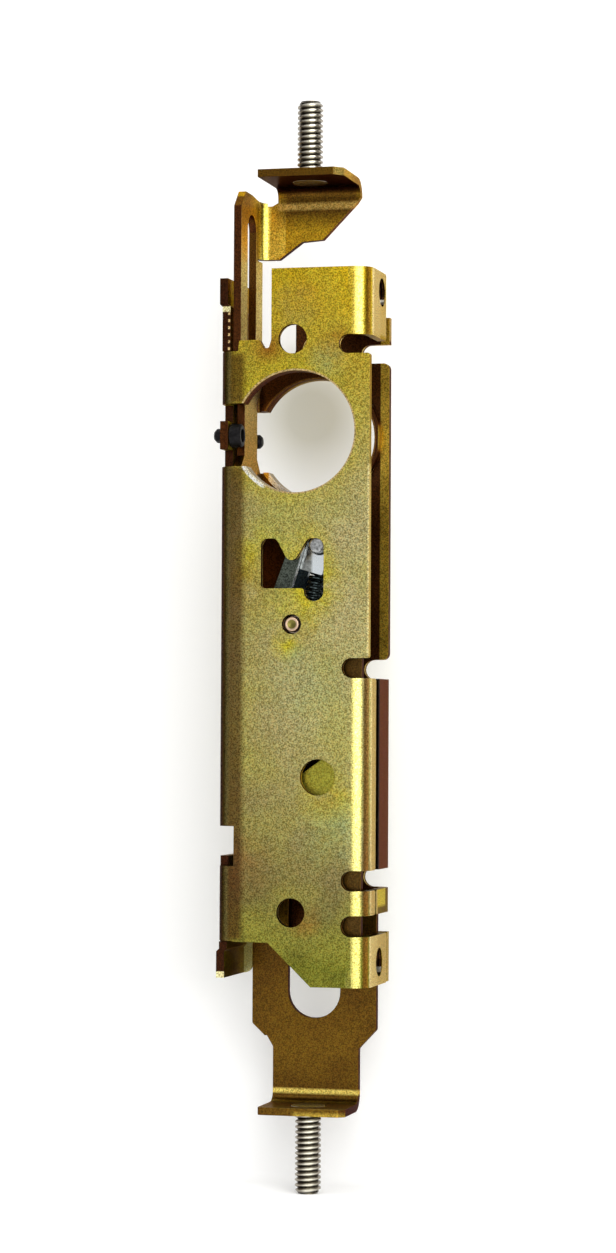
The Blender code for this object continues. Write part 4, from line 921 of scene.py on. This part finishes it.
def sheet_material():
    """White paper with a painted shadow of grey behind the opening, and clear from behind so that it hides
    nothing.
    """
    g = Graph("sheet")
    grey = g.near(SHEET_SHADOW_AT, 6, 21)
    g.finish(g.mix(grey, PAPER, PAPER_SHADOW_GREY), 0.95, metallic=0.0)
    path = g.nodes.new("ShaderNodeLightPath").outputs
    seen = g.math("MAXIMUM", path["Is Camera Ray"], path["Is Glossy Ray"])
    seen = g.math("MAXIMUM", seen, path["Is Transmission Ray"])
    # The glow fades out in the painted shadow.
    seen = g.times(seen, g.math("SUBTRACT", 1.0, grey))
    glow = g.add("ShaderNodeEmission", Strength=g.times(seen, SHEET_GLOW))
    both = g.nodes.new("ShaderNodeAddShader")
    g.links.new(g.shader.outputs[0], both.inputs[0])
    g.links.new(glow.outputs[0], both.inputs[1])
    choice = g.nodes.new("ShaderNodeMixShader")
    g.links.new(g.nodes.new("ShaderNodeNewGeometry").outputs["Backfacing"], choice.inputs[0])
    g.links.new(both.outputs[0], choice.inputs[1])
    g.links.new(g.nodes.new("ShaderNodeBsdfTransparent").outputs[0], choice.inputs[2])
    g.links.new(choice.outputs[0], g.nodes["Material Output"].inputs["Surface"])
    return g.material


def room():
    """A plain white room, a little dimmer than the sheet."""
    world = bpy.data.worlds.new("room")
    bpy.context.scene.world = world
    world.use_nodes = True
    light = world.node_tree.nodes["Background"]
    light.inputs["Color"].default_value = (1.0, 1.0, 1.0, 1)
    light.inputs["Strength"].default_value = ROOM


def dark_cards():
    """Cards out of the picture that give the metal something dark to show."""
    card = Graph("card").finish(CARD_BLACK, 0.9, metallic=0.0)
    for name, place, (width, height) in DARK_CARDS:
        turn = (-Vector(place)).to_track_quat("Z", "Y").to_matrix().to_4x4()
        where = Matrix.Translation((Vector(place) + LOCAL) * MM) @ turn
        corners = ((-width, -height), (width, -height), (width, height), (-width, height))
        bm = bmesh.new()
        bm.faces.new([bm.verts.new(where @ (Vector((x, y, 0)) * MM / 2)) for x, y in corners])
        obj = shape(name, bm, card)
        obj.visible_camera = False
        obj.visible_shadow = False
        obj.visible_diffuse = False
        obj.visible_transmission = False


def area_light(name, place, size, power):
    """A rectangular lamp aimed at CENTRE."""
    light = bpy.data.lights.new(name, "AREA")
    light.shape, light.size, light.size_y = "RECTANGLE", size[0], size[1]
    light.energy = power
    obj = bpy.data.objects.new(name, light)
    bpy.context.scene.collection.objects.link(obj)
    obj.location = place
    obj.rotation_euler = (CENTRE - place).to_track_quat("-Z", "Y").to_euler()


def lights():
    """A tall window ahead and to the right, and a lamp above."""
    ahead = Vector((math.sin(WINDOW_AZIMUTH), -math.cos(WINDOW_AZIMUTH), WINDOW_RISE))
    area_light("window", CENTRE + ahead * WINDOW_DISTANCE, WINDOW_SIZE, WINDOW_POWER)
    area_light("ceiling", CEILING_AT, CEILING_SIZE, CEILING_POWER)


def camera():
    """The photograph's viewpoint: the near side, seen from a little towards the front edge."""
    data = bpy.data.cameras.new("camera")
    data.sensor_fit = "VERTICAL"
    data.sensor_height = SENSOR_HEIGHT
    data.lens = SENSOR_HEIGHT * FOCAL_PX / FRAME_HEIGHT_PX
    data.clip_start, data.clip_end = 0.01, 20
    obj = bpy.data.objects.new("camera", data)
    bpy.context.scene.collection.objects.link(obj)
    bpy.context.scene.camera = obj
    right = Vector((math.cos(AZIMUTH), math.sin(AZIMUTH), 0))
    back = Vector((math.sin(AZIMUTH), -math.cos(AZIMUTH), 0))
    spot = Vector((0, NEAR_Y, CAMERA_Z)) + right * AXIS_ALONG + back * DISTANCE
    obj.location = (spot + LOCAL) * MM
    turn = Matrix.Rotation(AZIMUTH, 4, "Z") @ Matrix.Rotation(math.pi / 2 + PITCH, 4, "X")
    obj.rotation_euler = (turn @ Matrix.Rotation(ROLL, 4, "Z")).to_euler()


def main():
    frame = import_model()
    facts = node_facts(frame)
    materials = finishes()
    for name in facts:
        if name not in ("top_stud", "bottom_stud", "detent_spring"):
            skin(name, frame, facts, materials, BEVEL.get(name, BEVEL_SMALL))
    stud_threads(frame, facts, materials)
    spring(facts, materials)
    fork_back(facts, materials)
    tongue_lip(facts, materials)
    backdrop()
    room()
    dark_cards()
    lights()
    camera()
    scene = bpy.context.scene
    scene.view_settings.view_transform = "Standard"


main()
